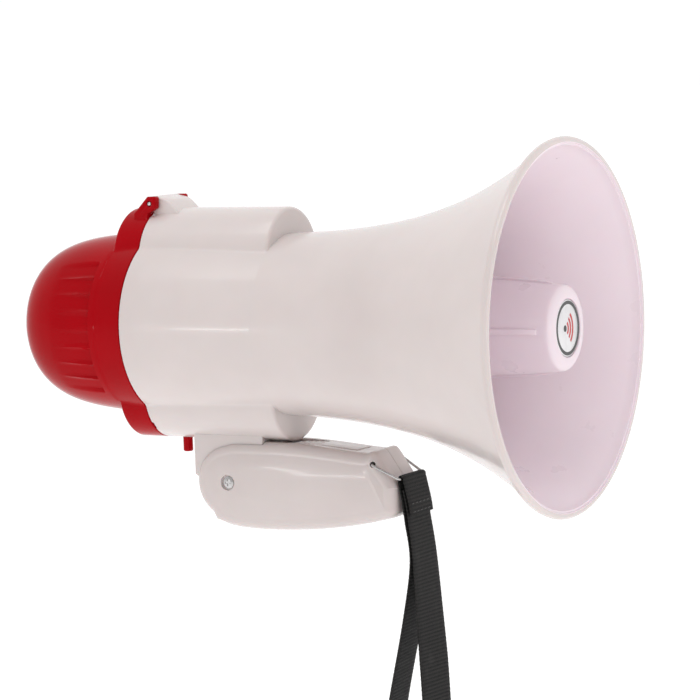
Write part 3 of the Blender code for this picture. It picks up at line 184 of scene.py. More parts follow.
def mouldedPlastic(name, colour, shade, worn, roughness, spread, coat=0.0, scatter=0.0, grain=0.06, shine=0.5):
    # injection-moulded plastic: faint cloudiness, fine grain, hairline scuffs, paler worn edges
    p = plastic
    finish, tree, shader, coords = newFinish(name)
    cloud = noiseField(tree, coords, p["cloud"], 3)
    base = blendColours(tree, remap(tree, cloud, 0.35, 0.7, 0.0, 1.0), colour, shade)
    scuff = remap(tree, noiseField(tree, coords, p["scuff"], 2, 0.6, p["scuffStretch"]), 0.72, 0.86, 0.0, 0.12)
    wear = times(tree, edgeWear(tree, 0.56, 0.68), remap(tree, cloud, 0.45, 0.6, 0.0, 0.5))
    rough = remap(tree, noiseField(tree, coords, p["smudge"], 5), 0.3, 0.75, roughness - spread, roughness + spread)
    fine = times(tree, noiseField(tree, coords, p["grain"], 2), p["grainShare"])
    sink = times(tree, noiseField(tree, coords, p["sink"], 1), 1.0)
    feed(tree, shader, {
        "Base Color": blendColours(tree, wear, base, worn),
        "Roughness": plus(tree, rough, times(tree, scuff, 0.25)),
        "Normal": bumpFrom(tree, plus(tree, fine, sink), grain, p["bump"]),
        "IOR": p["refraction"],
        "Specular IOR Level": shine,
        "Coat Weight": coat,
        "Coat Roughness": p["coatRoughness"],
        "Subsurface Weight": scatter,
        "Subsurface Scale": p["scatterDepth"],
    })
    return finish


def turnedMetal(name, colour, dull, roughness, spread, stretch=(1, 1, 1), grain=0.1):
    # plated or machined metal: tool grain, tarnish in patches, brighter on the edges
    finish, tree, shader, coords = newFinish(name)
    tarnish = noiseField(tree, coords, 180, 4)
    base = blendColours(tree, remap(tree, tarnish, 0.45, 0.75, 0.0, 0.7), colour, dull)
    lines = noiseField(tree, coords, 900, 2, 0.5, stretch)
    feed(tree, shader, {
        "Base Color": blendColours(tree, edgeWear(tree, 0.53, 0.62), base, colour),
        "Roughness": remap(tree, lines, 0.3, 0.7, roughness - spread, roughness + spread),
        "Normal": bumpFrom(tree, lines, grain, 0.2 * mm),
        "Metallic": 1.0,
    })
    return finish


webbingLook = {
    "threadScale": 420,
    "fuzzScale": 2600,
    "dustScale": 90,
    "deep": (0.008, 0.0075, 0.007),
    "raised": (0.028, 0.025, 0.024),
    # near-black painted shade for the rib grooves
    "valley": (0.003, 0.003, 0.003),
    "dust": (0.05, 0.047, 0.045),
}


def wovenWebbing():
    # black polypropylene webbing: ribs across, warp threads along, dusty high spots, and painted shade darkening the
    # rib grooves
    look = webbingLook
    finish, tree, shader, coords = newFinish("blackWebbing")
    threads = newNode(tree, "TexWave", {"Scale": look["threadScale"], "Distortion": 1.5, "Detail": 1.0,
                                        "Vector": coords}, wave_type="BANDS", bands_direction="Y").outputs["Fac"]
    fuzz = noiseField(tree, coords, look["fuzzScale"], 3)
    dust = noiseField(tree, coords, look["dustScale"], 4)
    tone = times(tree, remap(tree, threads, 0.2, 0.9, 0.2, 1.0), remap(tree, fuzz, 0.3, 0.7, 0.3, 1.0))
    # painted shade: the colour goes near black in the rib grooves, following the rib height stored on the strap's
    # points
    crown = newNode(tree, "Attribute", {}, attribute_name="ribGrooveShadeMask").outputs["Fac"]
    ribbed = blendColours(tree, remap(tree, crown, 0.1, 0.8, 0.0, 1.0), look["valley"],
                          blendColours(tree, tone, look["deep"], look["raised"]))
    height = plus(tree, times(tree, threads, 0.6), times(tree, fuzz, 0.5))
    feed(tree, shader, {
        "Base Color": blendColours(tree, remap(tree, dust, 0.62, 0.8, 0.0, 0.4), ribbed, look["dust"]),
        "Roughness": remap(tree, fuzz, 0.3, 0.7, 0.62, 0.85),
        "Normal": bumpFrom(tree, height, 0.6, 0.3 * mm),
        "Specular IOR Level": 0.25,
        "Sheen Weight": 0.04,
        "Sheen Roughness": 0.4,
    })
    return finish


def sewingThread():
    # twist shows as fine bands along the thread
    finish, tree, shader, coords = newFinish("blackThread")
    twist = noiseField(tree, coords, 3000, 2, 0.5, (0.4, 1.0, 1.0))
    feed(tree, shader, {
        "Base Color": blendColours(tree, twist, (0.02, 0.02, 0.021), (0.07, 0.07, 0.07)),
        "Roughness": remap(tree, twist, 0.3, 0.7, 0.4, 0.6),
        "Normal": bumpFrom(tree, twist, 0.5, 0.1 * mm),
    })
    return finish


def softRubber():
    # matt, with a pale bloom in patches
    finish, tree, shader, coords = newFinish("softRubber")
    bloom = noiseField(tree, coords, 120, 4)
    feed(tree, shader, {
        "Base Color": blendColours(tree, bloom, (0.02, 0.02, 0.02), (0.055, 0.053, 0.05)),
        "Roughness": remap(tree, bloom, 0.3, 0.7, 0.65, 0.85),
        "Normal": bumpFrom(tree, noiseField(tree, coords, 1400, 3), 0.3, 0.2 * mm),
    })
    return finish


def circuitBoard():
    # green solder mask with faint copper tracks under it
    finish, tree, shader, coords = newFinish("circuitBoard")
    tracks = newNode(tree, "TexBrick", {"Scale": 240, "Color1": (0.015, 0.13, 0.05), "Color2": (0.02, 0.17, 0.065),
                                        "Mortar": (0.05, 0.27, 0.11), "Vector": coords})
    feed(tree, shader, {
        "Base Color": tracks.outputs["Color"],
        "Roughness": remap(tree, noiseField(tree, coords, 300, 3), 0.3, 0.7, 0.28, 0.45),
        "Normal": bumpFrom(tree, tracks.outputs["Fac"], 0.2, 0.2 * mm),
    })
    return finish


def cellWrap():
    # dark printed sleeve on the sides, bare steel on the two ends
    finish, tree, shader, coords = newFinish("cellWrap")
    normal = newNode(tree, "SeparateXYZ", {0: newNode(tree, "TexCoord", {}).outputs["Normal"]})
    facing = newNode(tree, "Math", {0: normal.outputs["X"], 1: 0.0}, operation="ABSOLUTE").outputs[0]
    end = remap(tree, facing, 0.7, 0.8, 0.0, 1.0)
    bands = remap(tree, noiseField(tree, coords, 40, 2, 0.5, (1.0, 0.3, 0.3)), 0.45, 0.55, 0.0, 1.0)
    sleeve = blendColours(tree, bands, (0.01, 0.03, 0.10), (0.02, 0.05, 0.16))
    scuffs = noiseField(tree, coords, 400, 3)
    feed(tree, shader, {
        "Base Color": blendColours(tree, end, sleeve, (0.56, 0.56, 0.58)),
        "Metallic": end,
        "Roughness": remap(tree, scuffs, 0.3, 0.7, 0.25, 0.42),
        "Normal": bumpFrom(tree, scuffs, 0.08, 0.2 * mm),
    })
    return finish


finishes = {
    "white_abs": mouldedPlastic("warmWhiteAbs", (0.665, 0.595, 0.58), (0.625, 0.555, 0.54), (0.74, 0.69, 0.67),
                                0.22, 0.05, coat=0.15, scatter=0.1, shine=0.35),
    # paler than the white plastic: painted brightness standing in for light glowing through the thin horn and bouncing
    # inside it
    "bell_abs": mouldedPlastic("bellAbsPaintedGlow", (0.80, 0.69, 0.74), (0.775, 0.665, 0.715), (0.82, 0.76, 0.78),
                               0.32, 0.06, coat=0.1, scatter=0.1, shine=0.35),
    "red_abs": mouldedPlastic("crimsonAbs", (0.38, 0.001, 0.005), (0.32, 0.001, 0.004), (0.5, 0.015, 0.03),
                              0.12, 0.035, coat=0.03, grain=0.04, shine=0.045),
    "black_plastic": mouldedPlastic("blackNylon", (0.02, 0.02, 0.021), (0.028, 0.027, 0.027), (0.08, 0.08, 0.08),
                                    0.5, 0.08, grain=0.25),
    "steel": turnedMetal("platedSteel", (0.55, 0.54, 0.54), (0.30, 0.29, 0.28), 0.24, 0.09),
    "brass": turnedMetal("drawnBrass", (0.72, 0.50, 0.20), (0.45, 0.30, 0.12), 0.28, 0.08),
    "copper_coil": turnedMetal("lacqueredCopper", (0.72, 0.34, 0.14), (0.45, 0.2, 0.08), 0.3, 0.08,
                               (6, 0.3, 0.3), 0.6),
    "ferrite": mouldedPlastic("sinteredFerrite", (0.035, 0.035, 0.038), (0.055, 0.055, 0.057), (0.12, 0.12, 0.12),
                              0.6, 0.1, grain=0.5),
    "mylar": mouldedPlastic("formedFilm", (0.50, 0.33, 0.10), (0.42, 0.27, 0.08), (0.6, 0.45, 0.2), 0.22, 0.05),
    "badge_lacquer": turnedMetal("silverLacquer", (0.80, 0.79, 0.80), (0.66, 0.65, 0.66), 0.34, 0.06,
                                 (1, 6, 0.3), 0.12),
    "cell_sleeve": cellWrap(),
    "board_green": circuitBoard(),
    "capacitor_sleeve": mouldedPlastic("shrunkSleeve", (0.012, 0.012, 0.03), (0.02, 0.02, 0.045), (0.1, 0.1, 0.12),
                                       0.3, 0.06),
    "aluminium": turnedMetal("extrudedAluminium", (0.75, 0.75, 0.77), (0.55, 0.55, 0.56), 0.36, 0.08,
                             (0.2, 4, 4), 0.3),
    "rubber": softRubber(),
    "webbing": wovenWebbing(),
    "thread": sewingThread(),
    "badge_ink": mouldedPlastic("blackInk", (0.012, 0.012, 0.013), (0.02, 0.02, 0.02), (0.05, 0.05, 0.05), 0.3, 0.05),
    "badge_red": mouldedPlastic("redInk", (0.55, 0.012, 0.015), (0.47, 0.01, 0.012), (0.6, 0.1, 0.1), 0.3, 0.05),
}

for part in frame["record"]["subparts"]:
    node = frame["nodes"][part["node"]]
    node.data.materials.clear()
    node.data.materials.append(finishes[part["material_slot"]])
print("finishes made and given to every carried-over piece")


# mesh helpers

def settle(obj):
    # bakes the modifiers into the mesh
    bpy.context.view_layer.update()
    graph = bpy.context.evaluated_depsgraph_get()
    mesh = bpy.data.meshes.new_from_object(obj.evaluated_get(graph))
    obj.modifiers.clear()
    obj.data = mesh
    return obj


def meshFrom(name, bm):
    bmesh.ops.recalc_face_normals(bm, faces=bm.faces)
    mesh = bpy.data.meshes.new(name)
    bm.to_mesh(mesh)
    bm.free()
    obj = bpy.data.objects.new(name, mesh)
    bpy.context.scene.collection.objects.link(obj)
    return obj


def shape(obj, operation, *tools):
    for tool in tools:
        modifier = obj.modifiers.new("shape", "BOOLEAN")
        modifier.operation = operation
        modifier.solver = "EXACT"
        modifier.object = tool
    settle(obj)
    for tool in tools:
        bpy.data.objects.remove(tool, do_unlink=True)
    return obj


def softenEdges(obj, width, segments=3, angle=40):
    bevel = obj.modifiers.new("soften", "BEVEL")
    bevel.width = width
    bevel.segments = segments
    bevel.limit_method = "ANGLE"
    bevel.angle_limit = radians(angle)
    bevel.harden_normals = False
    return settle(obj)


def fit(obj, finish, body, standsFor=(), sharp=32):
    # last step of every piece: material, smooth shading, the body it rides on, and the node it stands for
    obj.data.materials.clear()
    obj.data.materials.append(finishes[finish])
    for face in obj.data.polygons:
        face.material_index = 0
    obj.data.shade_smooth()
    obj.data.set_sharp_from_angle(angle=radians(sharp))
    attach(obj, body)
    if standsFor:
        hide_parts(*standsFor)
    return obj


def skinRings(bm, rings):
    for first, second in zip(rings, rings[1:]):
        for i in range(len(first)):
            after = (i + 1) % len(first)
            bm.faces.new((first[i], first[after], second[after], second[i]))


def addSkin(bm, rings, joined=False):
    # a skin over rings of points, closed at both ends or joined end to end
    rings = [[bm.verts.new(point) for point in ring] for ring in rings]
    skinRings(bm, rings)
    if joined:
        skinRings(bm, [rings[-1], rings[0]])
    else:
        bm.faces.new(rings[0])
        bm.faces.new(rings[-1])


def skinned(name, rings, joined=False):
    bm = bmesh.new()
    addSkin(bm, rings, joined)
    return meshFrom(name, bm)


def circle(centre, radius, side, other, count, offset=0.0):
    turns = [2 * pi * (k + offset) / count for k in range(count)]
    return [centre + radius * (cos(turn) * side + sin(turn) * other) for turn in turns]


def turned(name, profile, place=onAxis, sides=128, closed=True, swell=None):
    # profile of (x, radius) turned about the x axis; swell adds to the radius at (x, turn, index)
    bm = bmesh.new()
    rings = []
    for index, (x, radius) in enumerate(profile):
        if radius <= 1e-9:
            rings.append([bm.verts.new(place @ Vector((x, 0, 0)))])
            continue
        ring = []
        for i in range(sides):
            turn = 2 * pi * (i + 0.5) / sides
            r = radius + (swell(x, turn, index) if swell else 0)
            ring.append(bm.verts.new(place @ Vector((x, r * cos(turn), r * sin(turn)))))
        rings.append(ring)
    pairs = list(zip(rings, rings[1:])) + ([(rings[-1], rings[0])] if closed else [])
    for first, second in pairs:
        if len(first) == 1 and len(second) == 1:
            continue
        for i in range(sides):
            after = (i + 1) % sides
            if len(first) == 1:
                bm.faces.new((first[0], second[after], second[i]))
            elif len(second) == 1:
                bm.faces.new((first[i], first[after], second[0]))
            else:
                bm.faces.new((first[i], first[after], second[after], second[i]))
    return meshFrom(name, bm)


def rod(name, start, end, radius, sides=32):
    start, end = Vector(start), Vector(end)
    side = (end - start).orthogonal().normalized()
    other = (end - start).normalized().cross(side)
    return skinned(name, [circle(point, radius, side, other, sides, 0.5) for point in (start, end)])


def bore(axis, at, low, high, radius, sides):
    # a round cutter along one axis, through the point at, from low to high on that axis
    ends = []
    for end in (low, high):
        point = list(at)
        point["xyz".index(axis)] = end
        ends.append(point)
    return rod("bore", *ends, radius, sides)


def extruded(name, outline, low, high):
    # an (x, z) outline pulled along y
    return skinned(name, [[(x, y, z) for x, z in outline] for y in (low, high)])


def lofted(name, stations):
    # (y, z) outlines set at x positions
    return skinned(name, [[(x, y, z) for y, z in outline] for x, outline in stations])


def block(name, low, high):
    (x0, y0, z0), (x1, y1, z1) = low, high
    return extruded(name, [(x0, z0), (x1, z0), (x1, z1), (x0, z1)], y0, y1)


def arc(centre, radius, start, end, steps):
    turns = [radians(start + (end - start) * i / steps) for i in range(steps + 1)]
    return [(centre[0] + radius * cos(turn), centre[1] + radius * sin(turn)) for turn in turns]


def rounded(x, radius, alongX, alongRadius, angles):
    # quarter round from the outside (90) to the face (0)
    return [(x + alongX * (1 - sin(radians(a))), radius - alongRadius * (1 - cos(radians(a)))) for a in angles]


def around(x, z, table):
    # points given in millimetres from (x, z)
    return [(x + dx * mm, z + dz * mm) for dx, dz in table]


def boxOf(node):
    # lowest corner, highest corner and middle of a CAD node
    low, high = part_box(node)
    return low, high, [(a + b) / 2 for a, b in zip(low, high)]


def smoothLine(points, steps):
    # a Catmull-Rom line through the points, ends included
    line = []
    for i in range(len(points) - 1):
        a = points[max(i - 1, 0)]
        b = points[i]
        c = points[i + 1]
        d = points[min(i + 2, len(points) - 1)]
        for k in range(steps):
            t = k / steps
            line.append(tuple(0.5 * (2 * q + (r - p) * t + (2 * p - 5 * q + 4 * r - s) * t * t
                                     + (3 * q - p - 3 * r + s) * t ** 3) for p, q, r, s in zip(a, b, c, d)))
    line.append(points[-1])
    return line


def tube(name, points, radius, sides=12, closed=False):
    # a round wire along 3D points
    points = [Vector(point) for point in points]
    last = len(points) - 1
    rings = []
    side = None
    for i, point in enumerate(points):
        before = points[i - 1] if (closed or i > 0) else points[0]
        after = points[(i + 1) % (last + 1)] if (closed or i < last) else points[last]
        along = (after - before).normalized()
        side = (side - along * side.dot(along) if side else along.orthogonal()).normalized()
        rings.append(circle(point, radius, side, along.cross(side), sides))
    return skinned(name, rings, closed)


# horn

horn = {
    "throat": 37.8 * mm,
    "flare": 100.0 * mm,
    "bend": (1.85, 0.9),
    "wall": 2.2 * mm,
    "rimWidth": 2.6 * mm,
    "rimDepth": 3.0 * mm,
    "rimRound": (1.5 * mm, 1.2 * mm),
    "neckRadius": 38.9 * mm,
    "neckFairing": 26.0 * mm,
    "spigotRadius": 36.2 * mm,
    "spigotLength": 8.0 * mm,
    "steps": 44,
    "crowding": 1.15,
    "lip": ((0, 0.35), (-0.12, 0.1), (-0.5, 0), (-0.75, -0.15), (-0.8, -0.9)),  # mm from the mouth's inner edge
}


def flareRadius(u):
    steep, curl = horn["bend"]
    return horn["throat"] + (mouthRadius - horn["throat"]) * exp(-steep * u - curl * u * u)


def hornRadius(x):
    # the flare, drawn in to the housing's radius at its rear
    along = min(max((x - housingFront) / horn["neckFairing"], 0), 1)
    return flareRadius((mouthX - x) / horn["flare"]) + (horn["neckRadius"] - flareRadius(1.28)) * (1 - along) ** 2


def makeHorn():
    h = horn
    rimBack = mouthX - h["rimDepth"]
    stations = [rimBack - (rimBack - housingFront) * (i / h["steps"]) ** h["crowding"] for i in range(h["steps"] + 1)]
    outer = [(x, hornRadius(x)) for x in stations]
    inner = [(x, radius - h["wall"]) for x, radius in outer]
    rim = [(rimBack - 0.05 * mm, outer[0][1] + 0.35 * mm), (rimBack + 0.1 * mm, mouthRadius - 0.5 * mm)]
    rim += rounded(mouthX, mouthRadius, -h["rimRound"][0], h["rimRound"][1], (0, 22, 45, 68, 90))
    rim += around(mouthX, mouthRadius - h["rimWidth"], h["lip"])
    spigotX = housingFront - h["spigotLength"]
    spigot = [(spigotX, inner[-1][1]), (spigotX, h["spigotRadius"]), (housingFront, h["spigotRadius"])]
    bell = turned("hornFlare", inner + spigot + outer[::-1] + rim, sides=160)
    fit(bell, "white_abs", mainBody, ["horn_bell"])
    # the inside faces up the flare, and is slightly cooler and painted brighter than the outside: painted light
    # standing in for the glow through the thin plastic and the light bouncing inside the bell
    bell.data.materials.append(finishes["bell_abs"])
    for face in bell.data.polygons:
        outwards = face.normal.y * face.center.y + face.normal.z * (face.center.z - axisHeight)
        face.material_index = 1 if outwards < 0 and face.center.x > housingFront else 0


makeHorn()
print("horn made")


# housing

housing = {
    "length": 63.5 * mm,
    "rearRadius": 40.1 * mm,
    "frontRadius": 38.9 * mm,
    "wall": 2.2 * mm,
    "lobeRadius": 22.4 * mm,
    "lobeOffset": 27.6 * mm,
    "lobeEnd": 1.7 * mm,
    "valley": 1.5 * mm,
    "rearEdge": 0.45 * mm,
    "boreRadius": 36.5 * mm,
    "wheelRoom": (0.4 * mm, 0.6 * mm),
    "keyHole": 2.4 * mm,
    "pinHole": 1.2 * mm,
    "nailNotch": (0.9 * mm, -17.2 * mm, -13.6 * mm, 9 * mm),
    "past": 2 * mm,
}
seamX = housingFront - housing["length"]
lobeTop = housing["lobeOffset"] + housing["lobeRadius"]
lobeBottomZ = axisHeight - lobeTop
pinX = seamX + 0.7 * mm
pinZ = axisHeight + lobeTop + 2.3 * mm


def lobedSection(barrelRadius, lobeRadius):
    # round barrel with a half-round lobe above and below and soft valleys between them, as (y, z)
    offset = housing["lobeOffset"]
    meet = (barrelRadius ** 2 - lobeRadius ** 2 + offset ** 2) / (2 * offset)
    onBarrel = degrees(asin(meet / barrelRadius))
    side = onBarrel - degrees(housing["valley"] / barrelRadius)
    lobeStart = degrees(asin((meet - offset) / lobeRadius)) + degrees(housing["valley"] / lobeRadius)
    arcs = [arc((0, axisHeight), barrelRadius, -side, side, 30),
            arc((0, axisHeight + offset), lobeRadius, lobeStart, 180 - lobeStart, 42),
            arc((0, axisHeight), barrelRadius, 180 - side, 180 + side, 30),
            arc((0, axisHeight - offset), lobeRadius, 180 + lobeStart, 360 - lobeStart, 42)]
    across = barrelRadius * cos(radians(onBarrel))
    corners = [(across, axisHeight + meet), (-across, axisHeight + meet),
               (-across, axisHeight - meet), (across, axisHeight - meet)]
    points = []
    for i, corner in enumerate(corners):
        points += arcs[i]
        points += bent(arcs[i][-1], corner, arcs[(i + 1) % 4][0], [k / 8 for k in range(1, 8)])
    return points


def bent(start, corner, end, shares):
    # a soft corner between start and end, at shares of the way
    return [tuple((1 - t) ** 2 * a + 2 * t * (1 - t) * b + t * t * c for a, b, c in zip(start, corner, end))
            for t in shares]


def makeHousing():
    h = housing
    rear, front, lobe, edge, past = h["rearRadius"], h["frontRadius"], h["lobeRadius"], h["rearEdge"], h["past"]

    def barrel(x):
        return rear + (front - rear) * (x - seamX) / h["length"]

    stations = [(seamX, lobedSection(rear - edge, lobe - edge)),
                (seamX + edge * 0.3, lobedSection(rear - edge * 0.3, lobe - edge * 0.3)),
                (seamX + edge, lobedSection(barrel(seamX + edge), lobe))]
    for x in [seamX + h["length"] * k / 8 for k in range(1, 8)]:
        stations.append((x, lobedSection(barrel(x), lobe)))
    for x, radius in rounded(housingFront, lobe, -h["lobeEnd"], h["lobeEnd"], (0, 15, 30, 45, 60, 75, 90)):
        stations.append((x, lobedSection(barrel(x), radius)))
    shell = lofted("housingShell", stations)
    shape(shell, "UNION", makeLug())
    wheelLow, wheelHigh, wheelMiddle = boxOf("volume_wheel")
    keyX = boxOf("siren_button")[2][0]
    room, spare = h["wheelRoom"]
    notchX, notchLow, notchHigh, notchDeep = h["nailNotch"]
    shape(shell, "DIFFERENCE",
          lofted("hollow", [(seamX - past, lobedSection(rear - h["wall"], lobe - h["wall"])),
                            (housingFront - h["wall"], lobedSection(front - h["wall"], lobe - h["wall"]))]),
          turned("throat", [(housingFront - 6 * mm, 0), (housingFront - 6 * mm, h["boreRadius"]),
                            (housingFront + 3 * mm, h["boreRadius"]), (housingFront + 3 * mm, 0)],
                 sides=96, closed=False),
          bore("x", wheelMiddle, wheelLow[0] - room, wheelHigh[0] + room,
               (wheelHigh[1] - wheelLow[1]) / 2 + spare, 96),
          bore("z", (keyX, 0, 0), lobeBottomZ - past, lobeBottomZ + h["wall"] + past, h["keyHole"], 40),
          bore("y", (pinX, 0, pinZ), -15 * mm, 15 * mm, h["pinHole"], 32),
          block("nailNotch", (seamX - past, notchLow, lobeBottomZ - past),
                (seamX + notchX, notchHigh, lobeBottomZ + notchDeep)))
    fit(shell, "white_abs", mainBody, ["housing_shell"], sharp=28)


lug = {
    "knuckle": 3.2 * mm,
    "half": 9.7 * mm,
    "edge": 1.1 * mm,
    "slope": ((3.4, 2.5), (6.6, 1.4), (9.6, -1.1), (12.5, -4.1)),  # mm from the pin
    "foot": ((12.5, -7.3), (-0.4, -7.3), (-0.4, -3.2)),
}


def makeLug():
    # the block on top that carries the hinge pin
    outline = arc((pinX, pinZ), lug["knuckle"], 180, 62, 14)
    outline += smoothLine(around(pinX, pinZ, lug["slope"]), 5) + around(pinX, pinZ, lug["foot"])
    return softenEdges(extruded("lug", outline[::-1], -lug["half"], lug["half"]), lug["edge"], 4, 50)


makeHousing()
print("housing made")


# rear cover

cover = {
    "collar": 13.2 * mm,
    "length": 49.5 * mm,
    "radius": 39.2 * mm,
    "square": 3.5,
    "taper": 0.075,
    "wall": 2.2 * mm,
    "seam": 0.3 * mm,
    "lip": 0.35 * mm,
    "collarEdge": 1.1 * mm,
    "overlap": 4 * mm,
    "steps": 40,
    "flutes": 8,
    "flutePitch": 11.5,
    "fluteDeep": 1.4 * mm,
    "fluteRear": -72.0 * mm,
    "fluteFront": -51.6 * mm,
    "fluteStep": 0.5 * mm,
    "fluteRings": (0.7, 0.5, 0.35, 0.15, 0.0, -0.4),
    "soundHole": 0.9 * mm,
    "soundCircle": 3.4 * mm,
    "knuckleRoom": (10.0 * mm, 3.8 * mm),
}
collarX = seamX - cover["collar"]
apexX = collarX - cover["length"]


def domeRadius(x, wall=0.0):
    behind = max(collarX - x, 0)
    share = min(behind / (cover["length"] - wall), 1)
    flat = cover["radius"] - wall - cover["taper"] * behind
    return flat * max(1 - share ** cover["square"], 0) ** (1 / cover["square"])


def fluteDepth(x, turn, index):
    # scallops run forward along both sides and end in a step
    rear, front, step = cover["fluteRear"], cover["fluteFront"], cover["fluteStep"]
    angle = degrees(turn) % 360
    fromSide = angle if angle <= 90 else (angle - 180 if angle < 270 else angle - 360)
    half = cover["flutes"] * cover["flutePitch"] / 2
    if not rear < x < front + step or abs(fromSide) >= half:
        return 0
    deep = min((x - rear) / (front - rear), 1) ** 0.8 * min((front + step - x) / step, 1)
    wave = abs(sin(pi * (fromSide + half) / cover["flutePitch"]))
    return -cover["fluteDeep"] * deep * (1 - (1 - wave) ** 3.6)


def makeCover():
    c = cover
    wall, edge, lip, overlap = c["wall"], c["collarEdge"], c["lip"], c["overlap"]
    front = seamX - c["seam"]
    barrel, lobe = housing["rearRadius"], housing["lobeRadius"]
    rearBarrel = c["radius"] - 0.01 * mm
    stations = [(x, lobedSection(rearBarrel, radius))
                for x, radius in rounded(collarX, lobe, edge, edge, (90, 70, 50, 30, 10, 0))]
    stations += [(collarX + c["collar"] * 0.5, lobedSection((rearBarrel + barrel) / 2, lobe)),
                 (front - lip, lobedSection(barrel, lobe)), (front, lobedSection(barrel - lip, lobe - lip))]
    collar = lofted("collar", stations)
    collarHollow = lofted("collarHollow", [(collarX + wall, lobedSection(rearBarrel - wall, lobe - wall)),
                                           (front + 2 * mm, lobedSection(barrel - wall, lobe - wall))])
    xs = [collarX - c["length"] * sin(i / c["steps"] * pi / 2) for i in range(c["steps"] + 1)]
    xs = sorted(set(xs + [c["fluteFront"] + d * mm for d in c["fluteRings"]]), reverse=True)
    outer = [(collarX + overlap, 0), (collarX + overlap, c["radius"] - 1.0 * mm)]
    outer += [(x, domeRadius(x)) for x in xs if x > apexX + 1e-6] + [(apexX, 0)]
    dome = turned("dome", outer, sides=288, closed=False, swell=fluteDepth)
    hollow = [(collarX + wall + overlap, 0), (collarX + wall + overlap, c["radius"] - wall - 1.4 * mm)]
    for x in [collarX - (c["length"] - wall) * sin(i / 14 * pi / 2) for i in range(14)]:
        hollow.append((x, domeRadius(x, wall) - 0.3 * mm))
    domeHollow = turned("domeHollow", hollow + [(apexX + wall, 0)], sides=96, closed=False)
    shape(collar, "UNION", dome)
    shape(collar, "UNION", makeEar(-1), makeEar(1))
    reach = c["soundCircle"]
    places = [(0, 0)] + [(reach * cos(i * pi / 3), reach * sin(i * pi / 3)) for i in range(6)]
    holes = [bore("x", (0, y, axisHeight + z), apexX - 2 * mm, apexX + wall + 3 * mm, c["soundHole"], 24)
             for y, z in places]
    lugHalf, clear = c["knuckleRoom"]
    knuckle = bore("y", (pinX, 0, pinZ), -lugHalf, lugHalf, clear, 48)
    pinHole = bore("y", (pinX, 0, pinZ), -16 * mm, 16 * mm, housing["pinHole"], 32)
    shape(collar, "DIFFERENCE", collarHollow, domeHollow, knuckle, pinHole, *holes)
    collar.name = "rearCoverShell"
    fit(collar, "red_abs", "rear_cover", ["rear_cover"], sharp=26)


ear = {
    "inner": 10.0 * mm,
    "thick": 3.4 * mm,
    "edge": 0.35 * mm,
    "foot": ((-8, -10.3), (-1.2, -10.3)),  # mm from the pin
    "plate": ((3.0, -2.0), (3.2, 2.4), (2.6, 3.1), (-0.9, 3.1), (-8, -4.2)),
}


def makeEar(side):
    # thin plate with a slanted rear edge and a flat top
    inner, outer = ear["inner"], ear["inner"] + ear["thick"]
    overLobe = axisHeight + housing["lobeOffset"] + sqrt(housing["lobeRadius"] ** 2 - inner ** 2) + 0.3 * mm
    outline = around(pinX, pinZ, ear["foot"]) + [(pinX - 1.2 * mm, overLobe)] + around(pinX, pinZ, ear["plate"])
    plate = extruded("ear", outline, *((inner, outer) if side > 0 else (-outer, -inner)))
    return softenEdges(plate, ear["edge"], 2, 30)


makeCover()
print("rear cover made")


# reflector in the mouth

reflector = {
    "setBack": 0.9 * mm,
    "length": 84.0 * mm,
    "frontRadius": 13.6 * mm,
    "shoulder": 17.6 * mm,
    "shoulderDepth": 3.6 * mm,
    "rearRadius": 22.6 * mm,
    "wall": 1.8 * mm,
    "recess": 1.1 * mm,
    "faceThick": (1.6 * mm, 3.0 * mm),
    "screwHole": 1.8 * mm,
    "boss": 4.2 * mm,
    "ribHalf": 1.2 * mm,
    "ribProud": 0.9 * mm,
    "ribEnds": (6 * mm, 2.5 * mm),
    "finHalf": 1.2 * mm,
    "finEnds": (16 * mm, 0.4 * mm),
    "finToe": ((9, 0), (4, 6)),
}
badge = {
    "radius": 11.6 * mm,
    "thick": 0.6 * mm,
    # inner and outer reach of the black edge line from the rim, widened to paint the recess shadow
    "line": (1.9 * mm, 0.5 * mm),
    "waves": (3.0, 5.2, 7.4),
    "waveHalf": 0.55 * mm,
    "waveAngle": 48,
    "dot": (0.7 * mm, 0.65 * mm),
    "shift": -2.6 * mm,
    "ink": (-0.02 * mm, 0.06 * mm),
}
cupFront = mouthX - reflector["setBack"]
cupRear = cupFront - reflector["length"]
badgeRecess = cupFront - reflector["recess"]


def cupRadius(x):
    share = max((cupFront - 3 * mm - x) / (reflector["length"] - 3 * mm), 0)
    return reflector["shoulder"] + (reflector["rearRadius"] - reflector["shoulder"]) * share ** 0.8


